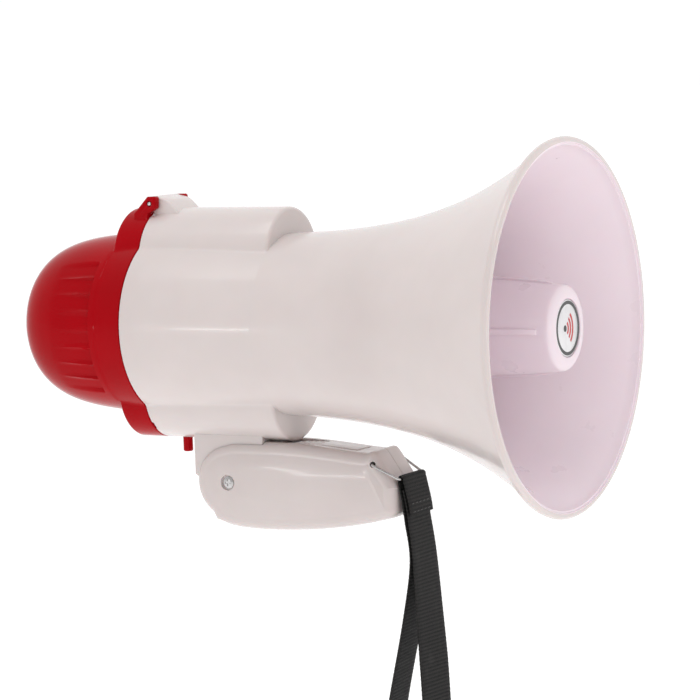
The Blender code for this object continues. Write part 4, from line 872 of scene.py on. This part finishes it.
def makeReflector():
    r = reflector
    spread = r["shoulder"] - r["frontRadius"]
    seat = badge["radius"] + 0.3 * mm
    ring = [(badgeRecess, seat), (cupFront - 0.25 * mm, seat), (cupFront, seat + 0.25 * mm),
            (cupFront, r["frontRadius"] - 0.3 * mm)]
    shoulder = [(cupFront - 0.1 * mm - spread * 0.62 * (1 - cos(radians(a))),
                 r["frontRadius"] + spread * sin(radians(a))) for a in range(6, 79, 9)]
    sideXs = [cupFront - r["shoulderDepth"] - (r["length"] - r["shoulderDepth"]) * i / 20 for i in range(21)]
    outer = ring + shoulder + [(x, cupRadius(x)) for x in sideXs]
    thin, thick = r["faceThick"]
    inner = [(x, cupRadius(x) - r["wall"]) for x in sideXs[:0:-1]]
    inner += [(badgeRecess - thick, r["shoulder"] - 4 * mm), (badgeRecess - thick, r["screwHole"])]
    face = [(badgeRecess - thin, r["screwHole"]), (badgeRecess - thin, r["boss"]), (badgeRecess, r["boss"])]
    cup = turned("reflectorBullet", outer + inner + face)
    extras = []
    for turn in (0, 90, 180, 270):
        extras += [web("rib", ribOutline(), r["ribHalf"], 0.35 * mm, 3, turn),
                   web("fin", finOutline(), r["finHalf"], 0.3 * mm, 2, turn)]
    shape(cup, "UNION", *extras)
    # the cup takes the bell's inside finish, with the same painted brightness
    fit(cup, "bell_abs", mainBody, ["reflector_cup"])


def web(name, outline, half, edge, segments, turn):
    # a flat web along the axis, turned about it
    piece = softenEdges(extruded(name, outline, -half, half), edge, segments, 50)
    piece.data.transform(onAxis @ Matrix.Rotation(radians(turn), 4, "X"))
    return piece


def ribOutline():
    end, slope = reflector["ribEnds"]
    proud = reflector["ribProud"]
    front, rear = cupFront - end, cupRear + end
    inside = cupRadius(front) - 1 * mm
    outline = [(rear, inside), (front, inside), (front, cupRadius(front) + 0.2 * mm),
               (front - slope, cupRadius(front) + proud)]
    return outline + [(x, cupRadius(x) + proud) for x in [front + (rear - front) * k / 8 for k in range(1, 9)]]


def finOutline():
    front, rear = cupRear + reflector["finEnds"][0], cupRear + reflector["finEnds"][1]
    inside = cupRadius(front) - 1.2 * mm
    return [(rear, inside)] + around(front, inside, reflector["finToe"]) + [
        (x, hornRadius(x) - horn["wall"] - 0.3 * mm) for x in (front, rear)]


def makeBadge():
    # plain silvery disc with a black edge line, widened into painted shadow of the recess round the disc, and red sound
    # waves
    b = badge
    back = badgeRecess + 0.15 * mm
    face = back + b["thick"]
    radius = b["radius"]
    disc = [(back, 0), (back, radius), (face - 0.25 * mm, radius), (face - 0.1 * mm, radius - 0.1 * mm),
            (face, radius - 0.35 * mm), (face, 0)]
    fit(turned("badgeFace", disc, sides=96, closed=False), "badge_lacquer", mainBody, ["badge_plate"])
    low, top = face + b["ink"][0], face + b["ink"][1]
    inner, outer = radius - b["line"][0], radius - b["line"][1]
    # black ink ring that also serves as painted shadow of the recess round the disc
    line = turned("badgeEdgeLineAndShadow", [(low, inner), (top, inner), (top, outer), (low, outer)], sides=96)
    fit(line, "badge_ink", mainBody)
    for number, reach in enumerate(b["waves"]):
        wave = badgeArc("badgeWave%d" % (number + 1), reach * mm, b["waveHalf"], -b["waveAngle"], b["waveAngle"],
                        low, top)
        fit(wave, "badge_red", mainBody)
    dot = badgeArc("badgeSource", *b["dot"], 0, 359.9, low, top)
    fit(dot, "badge_ink", mainBody)


def badgeArc(name, radius, half, start, end, back, front):
    centre = (badge["shift"], 0)
    outline = arc(centre, radius + half, start, end, 40) + arc(centre, radius - half, end, start, 40)
    return skinned(name, [[(x, y, axisHeight + z) for y, z in outline] for x in (back, front)])


makeReflector()
makeBadge()
print("reflector and badge made")


# handle

handle = {
    "halfWidth": 13.0 * mm,
    "reach": 80.6 * mm,
    "top": 16.4 * mm,
    "belly": 20.0 * mm,
    "butt": 16.4 * mm,
    "toe": 3.6 * mm,
    "rise": 1.2 * mm,
    "belowLobe": 1.1 * mm,
    "wall": 2.2 * mm,
    "edge": 4.6 * mm,
    "cheek": 11.2 * mm,
    "splitLine": 0.15 * mm,
    "panelInset": 1.0 * mm,
    "panelSlope": 0.35 * mm,
    "panelProud": 0.12 * mm,
    "ringHole": (70.8 * mm, 10.4 * mm),
    "ringBore": 1.25 * mm,
    "pivotBore": 2.2 * mm,
    "pivotSeat": (3.4 * mm, 1.0 * mm),
    "screwSink": (2.6 * mm, 3.0 * mm),
    "past": 2 * mm,
    "flatten": 0.92,
    # shares of the reach and of the belly or top; the last number is the share of the rise
    "underside": ((-0.092, 0.85), (0.03, 0.965), (0.2, 1), (0.42, 0.97), (0.62, 0.89), (0.8, 0.77), (0.94, 0.64)),
    "crest": ((0.75, 0.88, 0.55), (0.63, 0.93, 0.65), (0.5, 0.975, 0.8), (0.36, 1, 1), (0.1, 1, 1), (0.012, 1, 0.75)),
    "ridge": ((0.4, 4.7), (-0.3, 5.1), (-1.4, 5.2)),
}
triggerLow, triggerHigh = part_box("trigger")
bracketLow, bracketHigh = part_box("pivot_bracket")


def handleOutline(rise=0.0):
    h = handle
    reach, top, toe = h["reach"], h["top"], h["toe"]
    holeX, holeZ = h["ringHole"]
    outline = arc((0, 0), h["butt"], 104, 236, 44)
    outline += smoothLine([(x * reach, -h["belly"] * z) for x, z in h["underside"]], 6)
    outline += arc((reach - toe, -h["belly"] * 0.62 + toe), toe, -75, 0, 10)
    outline += smoothLine([(reach, 0.0), (reach - 0.4 * mm, 2.0 * mm), (holeX + 2.4 * mm, holeZ + 2.2 * mm)], 3)
    outline += around(holeX, holeZ, h["ridge"])
    crest = [(x * reach, top * z + rise * share) for x, z, share in h["crest"]]
    return outline + smoothLine([(holeX - 4.0 * mm, top * 0.86 + rise * 0.5)] + crest, 6)


def insetOutline(outline, distance):
    # moves an anticlockwise outline inwards; a stretch that would turn over folds onto its middle
    if distance < 1e-9:
        return list(outline)
    count = len(outline)
    moved = []
    for i in range(count):
        px, pz = outline[i - 1]
        cx, cz = outline[i]
        nx, nz = outline[(i + 1) % count]
        before, after = hypot(cx - px, cz - pz) or 1, hypot(nx - cx, nz - cz) or 1
        mx = -(cz - pz) / before - (nz - cz) / after
        mz = (cx - px) / before + (nx - cx) / after
        size = mx * mx + mz * mz
        scale = min(2 / size if size > 1e-9 else 1, 1.6)
        moved.append((cx + mx * scale * distance, cz + mz * scale * distance))

    def step(points, i, axis):
        return points[(i + 1) % count][axis] - points[i][axis]

    for _ in range(count):
        flipped = [i for i in range(count) if step(outline, i, 0) * step(moved, i, 0)
                   + step(outline, i, 1) * step(moved, i, 1) < -1e-14]
        if not flipped:
            break
        for i in flipped:
            after = (i + 1) % count
            middle = ((moved[i][0] + moved[after][0]) / 2, (moved[i][1] + moved[after][1]) / 2)
            moved[i] = moved[after] = middle
    return moved


def cheek(name, side, outline, inside, halfWidth, edge, skin=0.0, steps=8, panel=True):
    # one half of the handle: flat inside, rounded outer edge, and a panel that stands slightly proud
    sections = [(inside, skin)]
    for turn in [pi / 2 * i / steps for i in range(steps + 1)]:
        sections.append((side * (halfWidth - edge + edge * sin(turn)),
                         skin + edge * (1 - cos(turn)) * handle["flatten"]))
    if panel:
        inset = skin + edge * handle["flatten"] + handle["panelInset"]
        sections += [(side * halfWidth, inset),
                     (side * (halfWidth + handle["panelProud"]), inset + handle["panelSlope"])]
    bm = bmesh.new()
    addSkin(bm, [[(x, y, z) for x, z in insetOutline(outline, inset)] for y, inset in sections])
    bmesh.ops.remove_doubles(bm, verts=bm.verts, dist=1e-6)
    bmesh.ops.dissolve_degenerate(bm, edges=bm.edges, dist=1e-6)
    return meshFrom(name, bm)


def makeCheek(side, word, node):
    h = handle
    half, past = h["halfWidth"], h["halfWidth"] + h["past"]
    inside = -h["past"] * side
    shell = cheek("handleCheek" + word, side, handleOutline(h["rise"]), h["splitLine"] * side,
                  half - h["panelProud"], h["edge"])

    def between(width):
        # y from just past the split line out to width, lower value first
        return sorted((inside, width * side))

    hollow = cheek("hollow", side, handleOutline(), inside, half - h["wall"], h["edge"] - 1.4 * mm, h["wall"], 3, False)
    clear, far, step = bracketHigh[0] + 0.5 * mm, 28 * mm, -10 * mm
    fork = extruded("fork", [(-far, -far), (-2.4 * mm, -far), (-2.4 * mm, bracketLow[0]), (2.7 * mm, step),
                             (clear, step), (clear, far), (-far, far)], *between(h["cheek"]))
    slotLow, slotHigh = between((triggerHigh[1] - triggerLow[1]) / 2 + 0.3 * mm)
    slot = block("slot", (triggerLow[0] - 0.8 * mm, slotLow, h["top"] - 5 * mm),
                 (triggerHigh[0] + 0.6 * mm, slotHigh, h["top"] + 5 * mm))
    holeX, holeZ = h["ringHole"]
    seatRadius, seatDeep = h["pivotSeat"]
    tools = [hollow, fork, slot,
             bore("y", (holeX, 0, holeZ), inside, past * side, h["ringBore"], 28),
             bore("y", (0, 0, 0), inside, past * side, h["pivotBore"], 32),
             bore("y", (0, 0, 0), (half - seatDeep) * side, past * side, seatRadius, 48),
             bore("x", (0, 0, axisHeight - housing["lobeOffset"]), -h["butt"] - 2 * mm, housingFront + 2 * mm,
                  housing["lobeRadius"] + h["belowLobe"], 192)]
    if side > 0:
        for number in (1, 2):
            tools.append(bore("y", boxOf("handle_screw_%d" % number)[2], half - h["screwSink"][1], past,
                              h["screwSink"][0], 32))
    shape(shell, "DIFFERENCE", *tools)
    fit(shell, "white_abs", "handle", [node], sharp=30)


makeCheek(-1, "Near", "handle_near")
makeCheek(1, "Far", "handle_far")
print("handle cheeks made")


bracket = {
    "half": 10.8 * mm,
    "rear": 17.4 * mm,
    "front": 16.8 * mm,
    "rearFoot": 2.9 * mm,
    "frontFoot": 6.9 * mm,
    "above": 5.0 * mm,
    "eye": 8.0 * mm,
    "edge": 0.5 * mm,
    "bushBore": 3.3 * mm,
    "pilot": 1.6 * mm,
    "pilotDeep": 7.5 * mm,
    "seatRoom": 0.02 * mm,
}


def makeBracket():
    # tongue under the housing that the handle's cheeks close round
    b = bracket
    half, rear, front, top = b["half"], b["rear"], b["front"], lobeBottomZ + b["above"]
    outline = [(-rear, top), (-rear, b["rearFoot"])] + arc((0, 0), b["eye"], 215, 325, 24)
    outline += [(front, b["frontFoot"]), (front, top)]
    tongue = softenEdges(extruded("bracketTongue", outline, -half, half), b["edge"], 3, 40)
    tools = [bore("x", (0, 0, axisHeight - housing["lobeOffset"]), -rear - 3 * mm, front + 3 * mm,
                  housing["lobeRadius"] + b["seatRoom"], 160),
             bore("y", (0, 0, 0), -half - 2 * mm, half + 2 * mm, b["bushBore"], 48)]
    for number in (1, 2):
        screwX = boxOf("bracket_screw_%d" % number)[2][0]
        tools.append(bore("z", (screwX, 0, 0), lobeBottomZ - b["pilotDeep"], top + 2 * mm, b["pilot"], 24))
    shape(tongue, "DIFFERENCE", *tools)
    fit(tongue, "white_abs", mainBody, ["pivot_bracket"], sharp=30)


makeBracket()
print("bracket made")


# small moving and fastening pieces

screwHead = {
    "shank": 0.55,
    "crown": ((0.35, 1), (0.72, 0.5)),
    "crossLong": 0.58,
    "crossThin": 0.17,
    "crossDeep": 0.75,
}


def crossHead(name, node, side, headRadius, deep):
    # pan head with a cross recess, on a shank along y; side is the way the head faces
    s = screwHead
    low, high, (x, _, z) = boxOf(node)
    tip, top = (high[1], low[1]) if side < 0 else (low[1], high[1])
    place = Matrix.Translation((x, 0, z)) @ Matrix.Rotation(radians(90), 4, "Z")
    shank = headRadius * s["shank"]
    under = top - side * deep
    (drop, full), (wide, flat) = s["crown"]
    profile = [(tip, 0), (tip, shank * 0.8), (tip + side * 0.4 * mm, shank), (under, shank),
               (under, headRadius), (under + side * deep * drop, headRadius * full),
               (top - side * 0.1 * mm, headRadius * wide), (top, headRadius * flat), (top, 0)]
    screw = turned(name, profile, place, 40, closed=False)
    arm, thin = headRadius * s["crossLong"], headRadius * s["crossThin"]
    y0, y1 = sorted((top - side * deep * s["crossDeep"], top + side * mm))
    cross, other = [block("cross", (x - a, y0, z - b), (x + a, y1, z + b)) for a, b in ((arm, thin), (thin, arm))]
    shape(screw, "DIFFERENCE", shape(cross, "UNION", other))
    fit(screw, "steel", "handle", [node], sharp=30)


pivotLow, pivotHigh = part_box("pivot_screw")
crossHead("pivotScrewCross", "pivot_screw", -1 if abs(pivotLow[1]) > pivotHigh[1] else 1, 2.6 * mm, 0.62 * mm)
crossHead("cheekScrewRear", "handle_screw_1", 1, 2.3 * mm, 1.3 * mm)
crossHead("cheekScrewFront", "handle_screw_2", 1, 2.3 * mm, 1.3 * mm)


spring = {
    "turns": 4,
    "pointsPerTurn": 24,
    "sides": 8,
    "sirenWire": 0.25 * mm,
    "sirenTravel": 2.5 * mm,
    "triggerWire": 0.3 * mm,
    "triggerTravel": 18.3 * mm * sin(radians(3.5)),  # lever arm at the spring and the trigger's full turn
}


def makeSpring(name, node, body, wire):
    # open coil, evenly pitched from the bottom to the top of the node's box
    low, high, (x, y, _) = boxOf(node)
    fine = spring["pointsPerTurn"]
    count = spring["turns"] * fine
    bottom, top = low[2] + wire, high[2] - wire
    radius = (high[1] - low[1]) / 2 - wire
    points = [(x + radius * cos(2 * pi * k / fine), y + radius * sin(2 * pi * k / fine),
               bottom + (top - bottom) * k / count) for k in range(count + 1)]
    coil = fit(tube(name, points, wire, spring["sides"]), "steel", body, [node], sharp=60)
    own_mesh(coil)


sirenKey = {
    "radius": 2.1 * mm,
    "round": 0.7 * mm,
    "seatRoom": 0.3 * mm,
    "flange": 0.8 * mm,
    "stem": 1.2 * mm,
}


def makeSirenKey():
    # round key with a domed face, a flange inside the lobe and a thin stem up to the switch
    s = sirenKey
    low, high, (x, _, _) = boxOf("siren_button")
    radius, flange, stem = s["radius"], (high[0] - low[0]) / 2, s["stem"]
    place = Matrix.Translation((x, 0, 0)) @ Matrix.Rotation(-pi / 2, 4, "Y")
    seat = lobeBottomZ + housing["wall"] + s["seatRoom"]
    profile = [(low[2], 0)] + rounded(low[2], radius, s["round"], s["round"], (90, 70, 50, 30, 10, 0))
    profile += [(seat, radius), (seat, flange), (seat + s["flange"], flange), (seat + s["flange"], stem),
                (high[2], stem), (high[2], 0)]
    fit(turned("sirenKey", profile, place, 64, closed=False), "red_abs", "siren_button", ["siren_button"])


trigger = {
    "pivotX": 57.5 * mm,
    "pivotDrop": 4.4 * mm,
    "crown": ((0, -0.6, 0), (7, 0, 0.45), (16, 0, 1), (24, 0, 0.7)),  # mm from the rear top, share of proud
    "nose": ((-3.4, -0.3), (2.6, -1.0)),  # mm from the pivot, and from the handle's top
    "proud": 0.6 * mm,
    "thick": 2.8 * mm,
    "eye": 2.2 * mm,
    "pinBore": 1.3 * mm,
    "edge": 0.6 * mm,
    "grips": 5,
    "gripStart": 8,
    "gripPitch": 3,
    "gripAbove": 1.3 * mm,
    "gripRadius": 1.1 * mm,
}


def makeTrigger():
    # flat key on a pin at its front end, with finger grooves across it
    t = trigger
    top, rear = handle["top"], triggerLow[0]
    half = (triggerHigh[1] - triggerLow[1]) / 2
    pivotX, pivotZ = t["pivotX"], top - t["pivotDrop"]
    crown = [(rear + x * mm, top + z * mm + t["proud"] * share) for x, z, share in t["crown"]]
    outline = smoothLine(crown + around(pivotX, top, t["nose"]), 8) + around(pivotX, top, ((2.6, -2.4),))
    outline += arc((pivotX, pivotZ), t["eye"], 0, -180, 20)
    outline += [(pivotX - t["eye"], top - t["thick"]), (rear, top - t["thick"])]
    piece = softenEdges(extruded("triggerKey", outline[::-1], -half, half), t["edge"], 4, 50)
    pinBore = bore("y", (pivotX, 0, pivotZ), -half - 2 * mm, half + 2 * mm, t["pinBore"], 32)
    grips = [bore("y", (rear + (t["gripStart"] + t["gripPitch"] * k) * mm, 0, top + t["gripAbove"]),
                  -half - mm, half + mm, t["gripRadius"], 24) for k in range(t["grips"])]
    shape(piece, "DIFFERENCE", pinBore, *grips)
    fit(piece, "white_abs", "trigger", ["trigger"], sharp=30)


wheel = {
    "ridges": 36,
    "ridgeDeep": 0.28 * mm,
    "bore": 1.6 * mm,
    "chamfer": (0.35 * mm, 0.45 * mm),
}


def makeVolumeWheel():
    # knurled rim
    low, high, (_, y, z) = boxOf("volume_wheel")
    radius = (high[1] - low[1]) / 2
    across, inwards = wheel["chamfer"]

    def knurl(x, turn, index):
        return -wheel["ridgeDeep"] * (0.5 - 0.5 * cos(turn * wheel["ridges"])) if 1 <= index <= 4 else 0

    profile = [(low[0], wheel["bore"]), (low[0], radius - inwards), (low[0] + across, radius),
               (high[0] - across, radius), (high[0], radius - inwards), (high[0], wheel["bore"])]
    thumbwheel = turned("volumeThumbwheel", profile, Matrix.Translation((0, y, z)), wheel["ridges"] * 6, True, knurl)
    fit(thumbwheel, "black_plastic", "volume_wheel", ["volume_wheel"], sharp=40)


pinEndRound = 0.35 * mm


def makeHingePin():
    # plain pin with rounded ends
    low, high, (x, _, z) = boxOf("hinge_pin")
    place = Matrix.Translation((x, 0, z)) @ Matrix.Rotation(pi / 2, 4, "Z")
    half = rounded(high[1], (high[0] - low[0]) / 2, -pinEndRound, pinEndRound, (0, 30, 60, 90))
    profile = [(low[1], 0)] + [(-y, r) for y, r in half[::-1]] + half + [(high[1], 0)]
    fit(turned("hingePinRod", profile, place, 32, closed=False), "steel", mainBody, ["hinge_pin"])


ring = {
    "wire": 0.55 * mm,
    "barHalf": 10.9 * mm,
    "eyeOut": 0.8 * mm,
    "bend": 1.5 * mm,
}
ringLow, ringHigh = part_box("strap_ring")
barX, barZ = ringHigh[0] - ring["wire"], ringLow[2] + ring["wire"]


def makeRing():
    # bent wire: two legs through the handle's end and a straight crossbar
    holeX, holeZ = handle["ringHole"]
    eye, bar = handle["halfWidth"] + ring["eyeOut"], ring["barHalf"]
    corners = [Vector(p) for p in ((holeX, -eye, holeZ), (barX, -bar, barZ), (barX, bar, barZ), (holeX, eye, holeZ))]
    points = []
    for i, at in enumerate(corners):
        start = at + (corners[i - 1] - at).normalized() * ring["bend"]
        end = at + (corners[(i + 1) % 4] - at).normalized() * ring["bend"]
        points += bent(start, at, end, [k / 6 for k in range(7)])
    fit(tube("ringWire", points, ring["wire"], 20, closed=True), "steel", "strap_ring", ["strap_ring"], sharp=60)


makeSpring("sirenKeySpring", "button_spring", mainBody, spring["sirenWire"])
makeSpring("triggerKeySpring", "trigger_spring", "handle", spring["triggerWire"])
makeSirenKey()
makeTrigger()
makeVolumeWheel()
makeHingePin()
makeRing()
print("controls, screws, springs, pin and ring made")


# wrist strap

strap = {
    "width": 20.0 * mm,
    "thickness": 1.15 * mm,
    "ribPitch": 1.55 * mm,
    "ribHeight": 0.2 * mm,
    "rowStep": 0.31 * mm,
    "across": 12,
    "selvedge": 0.9,
    "bead": 0.06 * mm,
    "sway": 0.05 * mm,
    "sewnDrop": 17.0 * mm,
    "twist": 8.0,
    "twistBack": -0.35,
    "twistTurn": 0.52,
    "twistFade": (60 * mm, 34 * mm, 4 * mm),
    "stitchRows": (3.2 * mm, 6.6 * mm),
    "stitchMargin": 1.6 * mm,
    "stitchLength": 2.2 * mm,
    "stitchGap": 1.1 * mm,
    "threadRadius": 0.19 * mm,
    "fold": 90,
    "backLeg": 200,
    # mm from the crossbar and the sewn fold, or from the loop's top and shares of its fall
    "freeEnd": ((4.2, 1.8), (3.8, 5), (3.1, 8.6)),
    "backFold": ((0.3, 8), (0.9, 3)),
    "back": ((1.8, 0.14), (-2.4, 0.32), (-11, 0.6), (-15.5, 0.8), (-13, 0.95)),
    "front": ((4, 0.94), (7.5, 0.8), (7, 0.55), (5.2, 0.3), (3.6, 0.12)),
    "frontFold": ((2.35, 5), (1.6, 9)),
}
sewnZ = barZ - strap["sewnDrop"]
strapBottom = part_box("wrist_strap")[0][2]


def strapLine():
    # free end in front, up and over the crossbar, down the back leg, round the bottom and up between the layers
    s = strap
    wrap = ring["wire"] + s["thickness"] / 2 + 0.15 * mm
    top = sewnZ + mm
    fall = top - strapBottom
    x = barX + 1.2 * mm

    def hanging(table):
        return [(x + dx * mm, top - share * fall) for dx, share in table]

    line = around(barX, sewnZ, s["freeEnd"]) + around(barX, barZ, ((2.1, -4),))
    line += arc((barX, barZ), wrap, -12, 186, 8)
    line += around(barX, barZ, ((-0.6, -4.5),)) + around(barX, sewnZ, s["backFold"]) + around(x, top, ((0.2, -2),))
    line += hanging(s["back"]) + [(x - 5 * mm, strapBottom + s["thickness"] / 2 + 0.2 * mm)] + hanging(s["front"])
    line += around(x, top, ((1.7, -1),)) + around(barX, sewnZ, s["frontFold"]) + around(barX, barZ, ((0.9, -4.6),))
    return evenly(smoothLine(line, 12), s["rowStep"])


def evenly(line, step):
    # respaces a line at an even step
    lengths = [0.0]
    for (ax, az), (bx, bz) in zip(line, line[1:]):
        lengths.append(lengths[-1] + hypot(bx - ax, bz - az))
    count = int(lengths[-1] / step)
    points, at = [], 0
    for k in range(count + 1):
        want = lengths[-1] * k / count
        while at < len(lengths) - 2 and lengths[at + 1] < want:
            at += 1
        share = (want - lengths[at]) / max(lengths[at + 1] - lengths[at], 1e-12)
        (ax, az), (bx, bz) = line[at], line[at + 1]
        points.append((ax + (bx - ax) * share, az + (bz - az) * share))
    return points


def strapTwist(i, count, z):
    # the front leg turns one way and the back leg a little the other; both lie square at the fold and the bottom
    below, fadeTop, fadeBottom = strap["twistFade"]
    front = 1 if i > strap["twistTurn"] * count else strap["twistBack"]
    twist = radians(strap["twist"]) * max(min((sewnZ - z) / below, 1), 0) * front
    if z < strapBottom + fadeTop:
        twist *= max(z - strapBottom - fadeBottom, 0) / (fadeTop - fadeBottom)
    return twist


def makeStrap():
    s = strap
    line = strapLine()
    half = s["width"] / 2
    bm = bmesh.new()
    rows = []
    # each point keeps its share of the rib height, which the webbing finish uses to paint shade into the rib grooves
    crown = bm.verts.layers.float.new("ribGrooveShadeMask")
    for i, (x, z) in enumerate(line):
        ax, az = line[max(i - 1, 0)]
        bx, bz = line[min(i + 1, len(line) - 1)]
        size = hypot(bx - ax, bz - az)
        normal = Vector((-(bz - az) / size, 0, (bx - ax) / size))
        twist = strapTwist(i, len(line), z)
        crossing = Vector((sin(twist), cos(twist), 0))
        centre = Vector((x, 0, z))
        wave = s["ribHeight"] * (0.5 + 0.5 * cos(2 * pi * i * s["rowStep"] / s["ribPitch"]))
        row = []
        for face in (1, -1):
            for k in range(s["across"] + 1):
                u = (-1 + 2 * k / s["across"]) * face
                edge = 1 - 0.42 * max(0, (abs(u) - 0.86) / 0.14) ** 2
                bead = s["bead"] * exp(-((abs(u) - s["selvedge"]) / 0.05) ** 2)
                ribbed = wave * (1 if abs(u) < s["selvedge"] else 0.4)
                thick = (s["thickness"] / 2 - s["ribHeight"] + ribbed) * edge + bead
                sway = s["sway"] * sin(i * 0.9 + k) * (abs(u) > 0.95)
                vert = bm.verts.new(centre + crossing * (u * half) + normal * face * thick + crossing * sway)
                vert[crown] = wave / s["ribHeight"]
                row.append(vert)
        rows.append(row)
    skinRings(bm, rows)
    bm.faces.new(rows[0])
    bm.faces.new(rows[-1])
    webbing = fit(meshFrom("strapWebbing", bm), "webbing", "wrist_strap", ["wrist_strap"], sharp=60)
    total = (len(line) - 1) * s["rowStep"]
    makeStitches(line)
    return total


def makeStitches(line):
    # two rows of lockstitch through the sewn fold, seen on its front and back
    s = strap
    bm = bmesh.new()
    out = s["thickness"] / 2 + 0.02 * mm
    frontX = {round(z / mm): x for x, z in line[:s["fold"]]}
    for z in [sewnZ + row for row in s["stitchRows"]]:
        backX = min(line[s["fold"]:s["backLeg"]], key=lambda p: abs(p[1] - z))[0]
        for k in range(int((s["width"] - 2 * mm) / (s["stitchLength"] + s["stitchGap"]))):
            y = -s["width"] / 2 + s["stitchMargin"] + k * (s["stitchLength"] + s["stitchGap"])
            addThread(bm, frontX.get(round(z / mm), barX + 4.4 * mm) + out, y, z, 1)
            addThread(bm, backX - out, y, z, -1)
    return fit(meshFrom("strapStitching", bm), "thread", "wrist_strap")


def addThread(bm, x, y, z, side):
    # one stitch: thickest and furthest out at its middle
    rings = []
    for share in [i / 6 for i in range(7)]:
        bow = sin(pi * share)
        centre = Vector((x + side * (bow * 0.16 - 0.10) * mm, y + share * strap["stitchLength"], z + 0.15 * mm * share))
        rings.append(circle(centre, strap["threadRadius"] * (0.55 + 0.45 * bow), Vector((1, 0, 0)),
                            Vector((0, 0, 1)), 8))
    addSkin(bm, rings)


strapLength = makeStrap()
print("wrist strap made, %.0f mm of webbing" % (strapLength / mm))


# floor and light

studio = {
    "floorDrop": 130.0 * mm,
    "floorRings": (0.2, 0.6, 1.6, 4.0, 12.0, 45.0),
    "floorGlow": 0.32,
    "floorTone": ((0.84, 0.84, 0.84), (0.88, 0.88, 0.88)),
    "room": (1.0, 0.995, 0.995),
    "behind": 1.02,
    "towardsViewer": 0.58,
    "view": (0.48, -0.87, 0.10),
}
lamps = {
    "overheadSoftbox": {"place": (-0.1, -0.5, 1.5), "target": (0.0, 0.0, 0.07), "size": (1.4, 0.8), "power": 8.0},
    "lowStrip": {"place": (-0.62, -1.25, 0.02), "target": (0.0, 0.0, 0.07), "size": (0.16, 0.04), "power": 0.35},
    "mouthSoftbox": {"place": (1.5, -0.35, 0.35), "target": (0.1, 0.0, 0.07), "size": (0.8, 0.8), "power": 3.4},
}


def makeFloor():
    bm = bmesh.new()
    middle = Vector((0, 0, cadBox[0][2] - studio["floorDrop"]))
    rings = [[bm.verts.new(p) for p in circle(middle, reach, Vector((1, 0, 0)), Vector((0, 1, 0)), 64)]
             for reach in studio["floorRings"]]
    skinRings(bm, rings)
    bm.faces.new(rings[0])
    floor = meshFrom("studioFloor", bm)
    finish, tree, shader, coords = newFinish("paleFloor")
    feed(tree, shader, {
        "Base Color": blendColours(tree, noiseField(tree, coords, 3, 2), *studio["floorTone"]),
        "Roughness": 0.8,
        "Emission Color": (1, 1, 1),
        "Emission Strength": studio["floorGlow"],
    })
    floor.data.materials.append(finish)
    floor.data.shade_smooth()


def makeRoom():
    # bright, even room that is dimmer on the viewer's side
    world = bpy.data.worlds.new("softStudio")
    world.use_nodes = True
    tree = world.node_tree
    direction = newNode(tree, "TexCoord", {}).outputs["Generated"]
    facing = newNode(tree, "VectorMath", {0: direction, 1: studio["view"]}, operation="DOT_PRODUCT")
    level = remap(tree, facing.outputs["Value"], -0.5, 0.9, studio["behind"], studio["towardsViewer"])
    feed(tree, tree.nodes["Background"], {"Color": studio["room"], "Strength": level})
    bpy.context.scene.world = world
    bpy.context.scene.view_settings.view_transform = "Standard"


def addLamp(name, place, target, size, power):
    data = bpy.data.lights.new(name, "AREA")
    data.shape = "RECTANGLE"
    data.size, data.size_y = size
    data.energy = power
    lamp = bpy.data.objects.new(name, data)
    lamp.location = place
    lamp.rotation_euler = (Vector(target) - Vector(place)).to_track_quat("-Z", "Y").to_euler()
    bpy.context.scene.collection.objects.link(lamp)


makeFloor()
makeRoom()
for name, settings in lamps.items():
    addLamp(name, **settings)
print("studio ready")
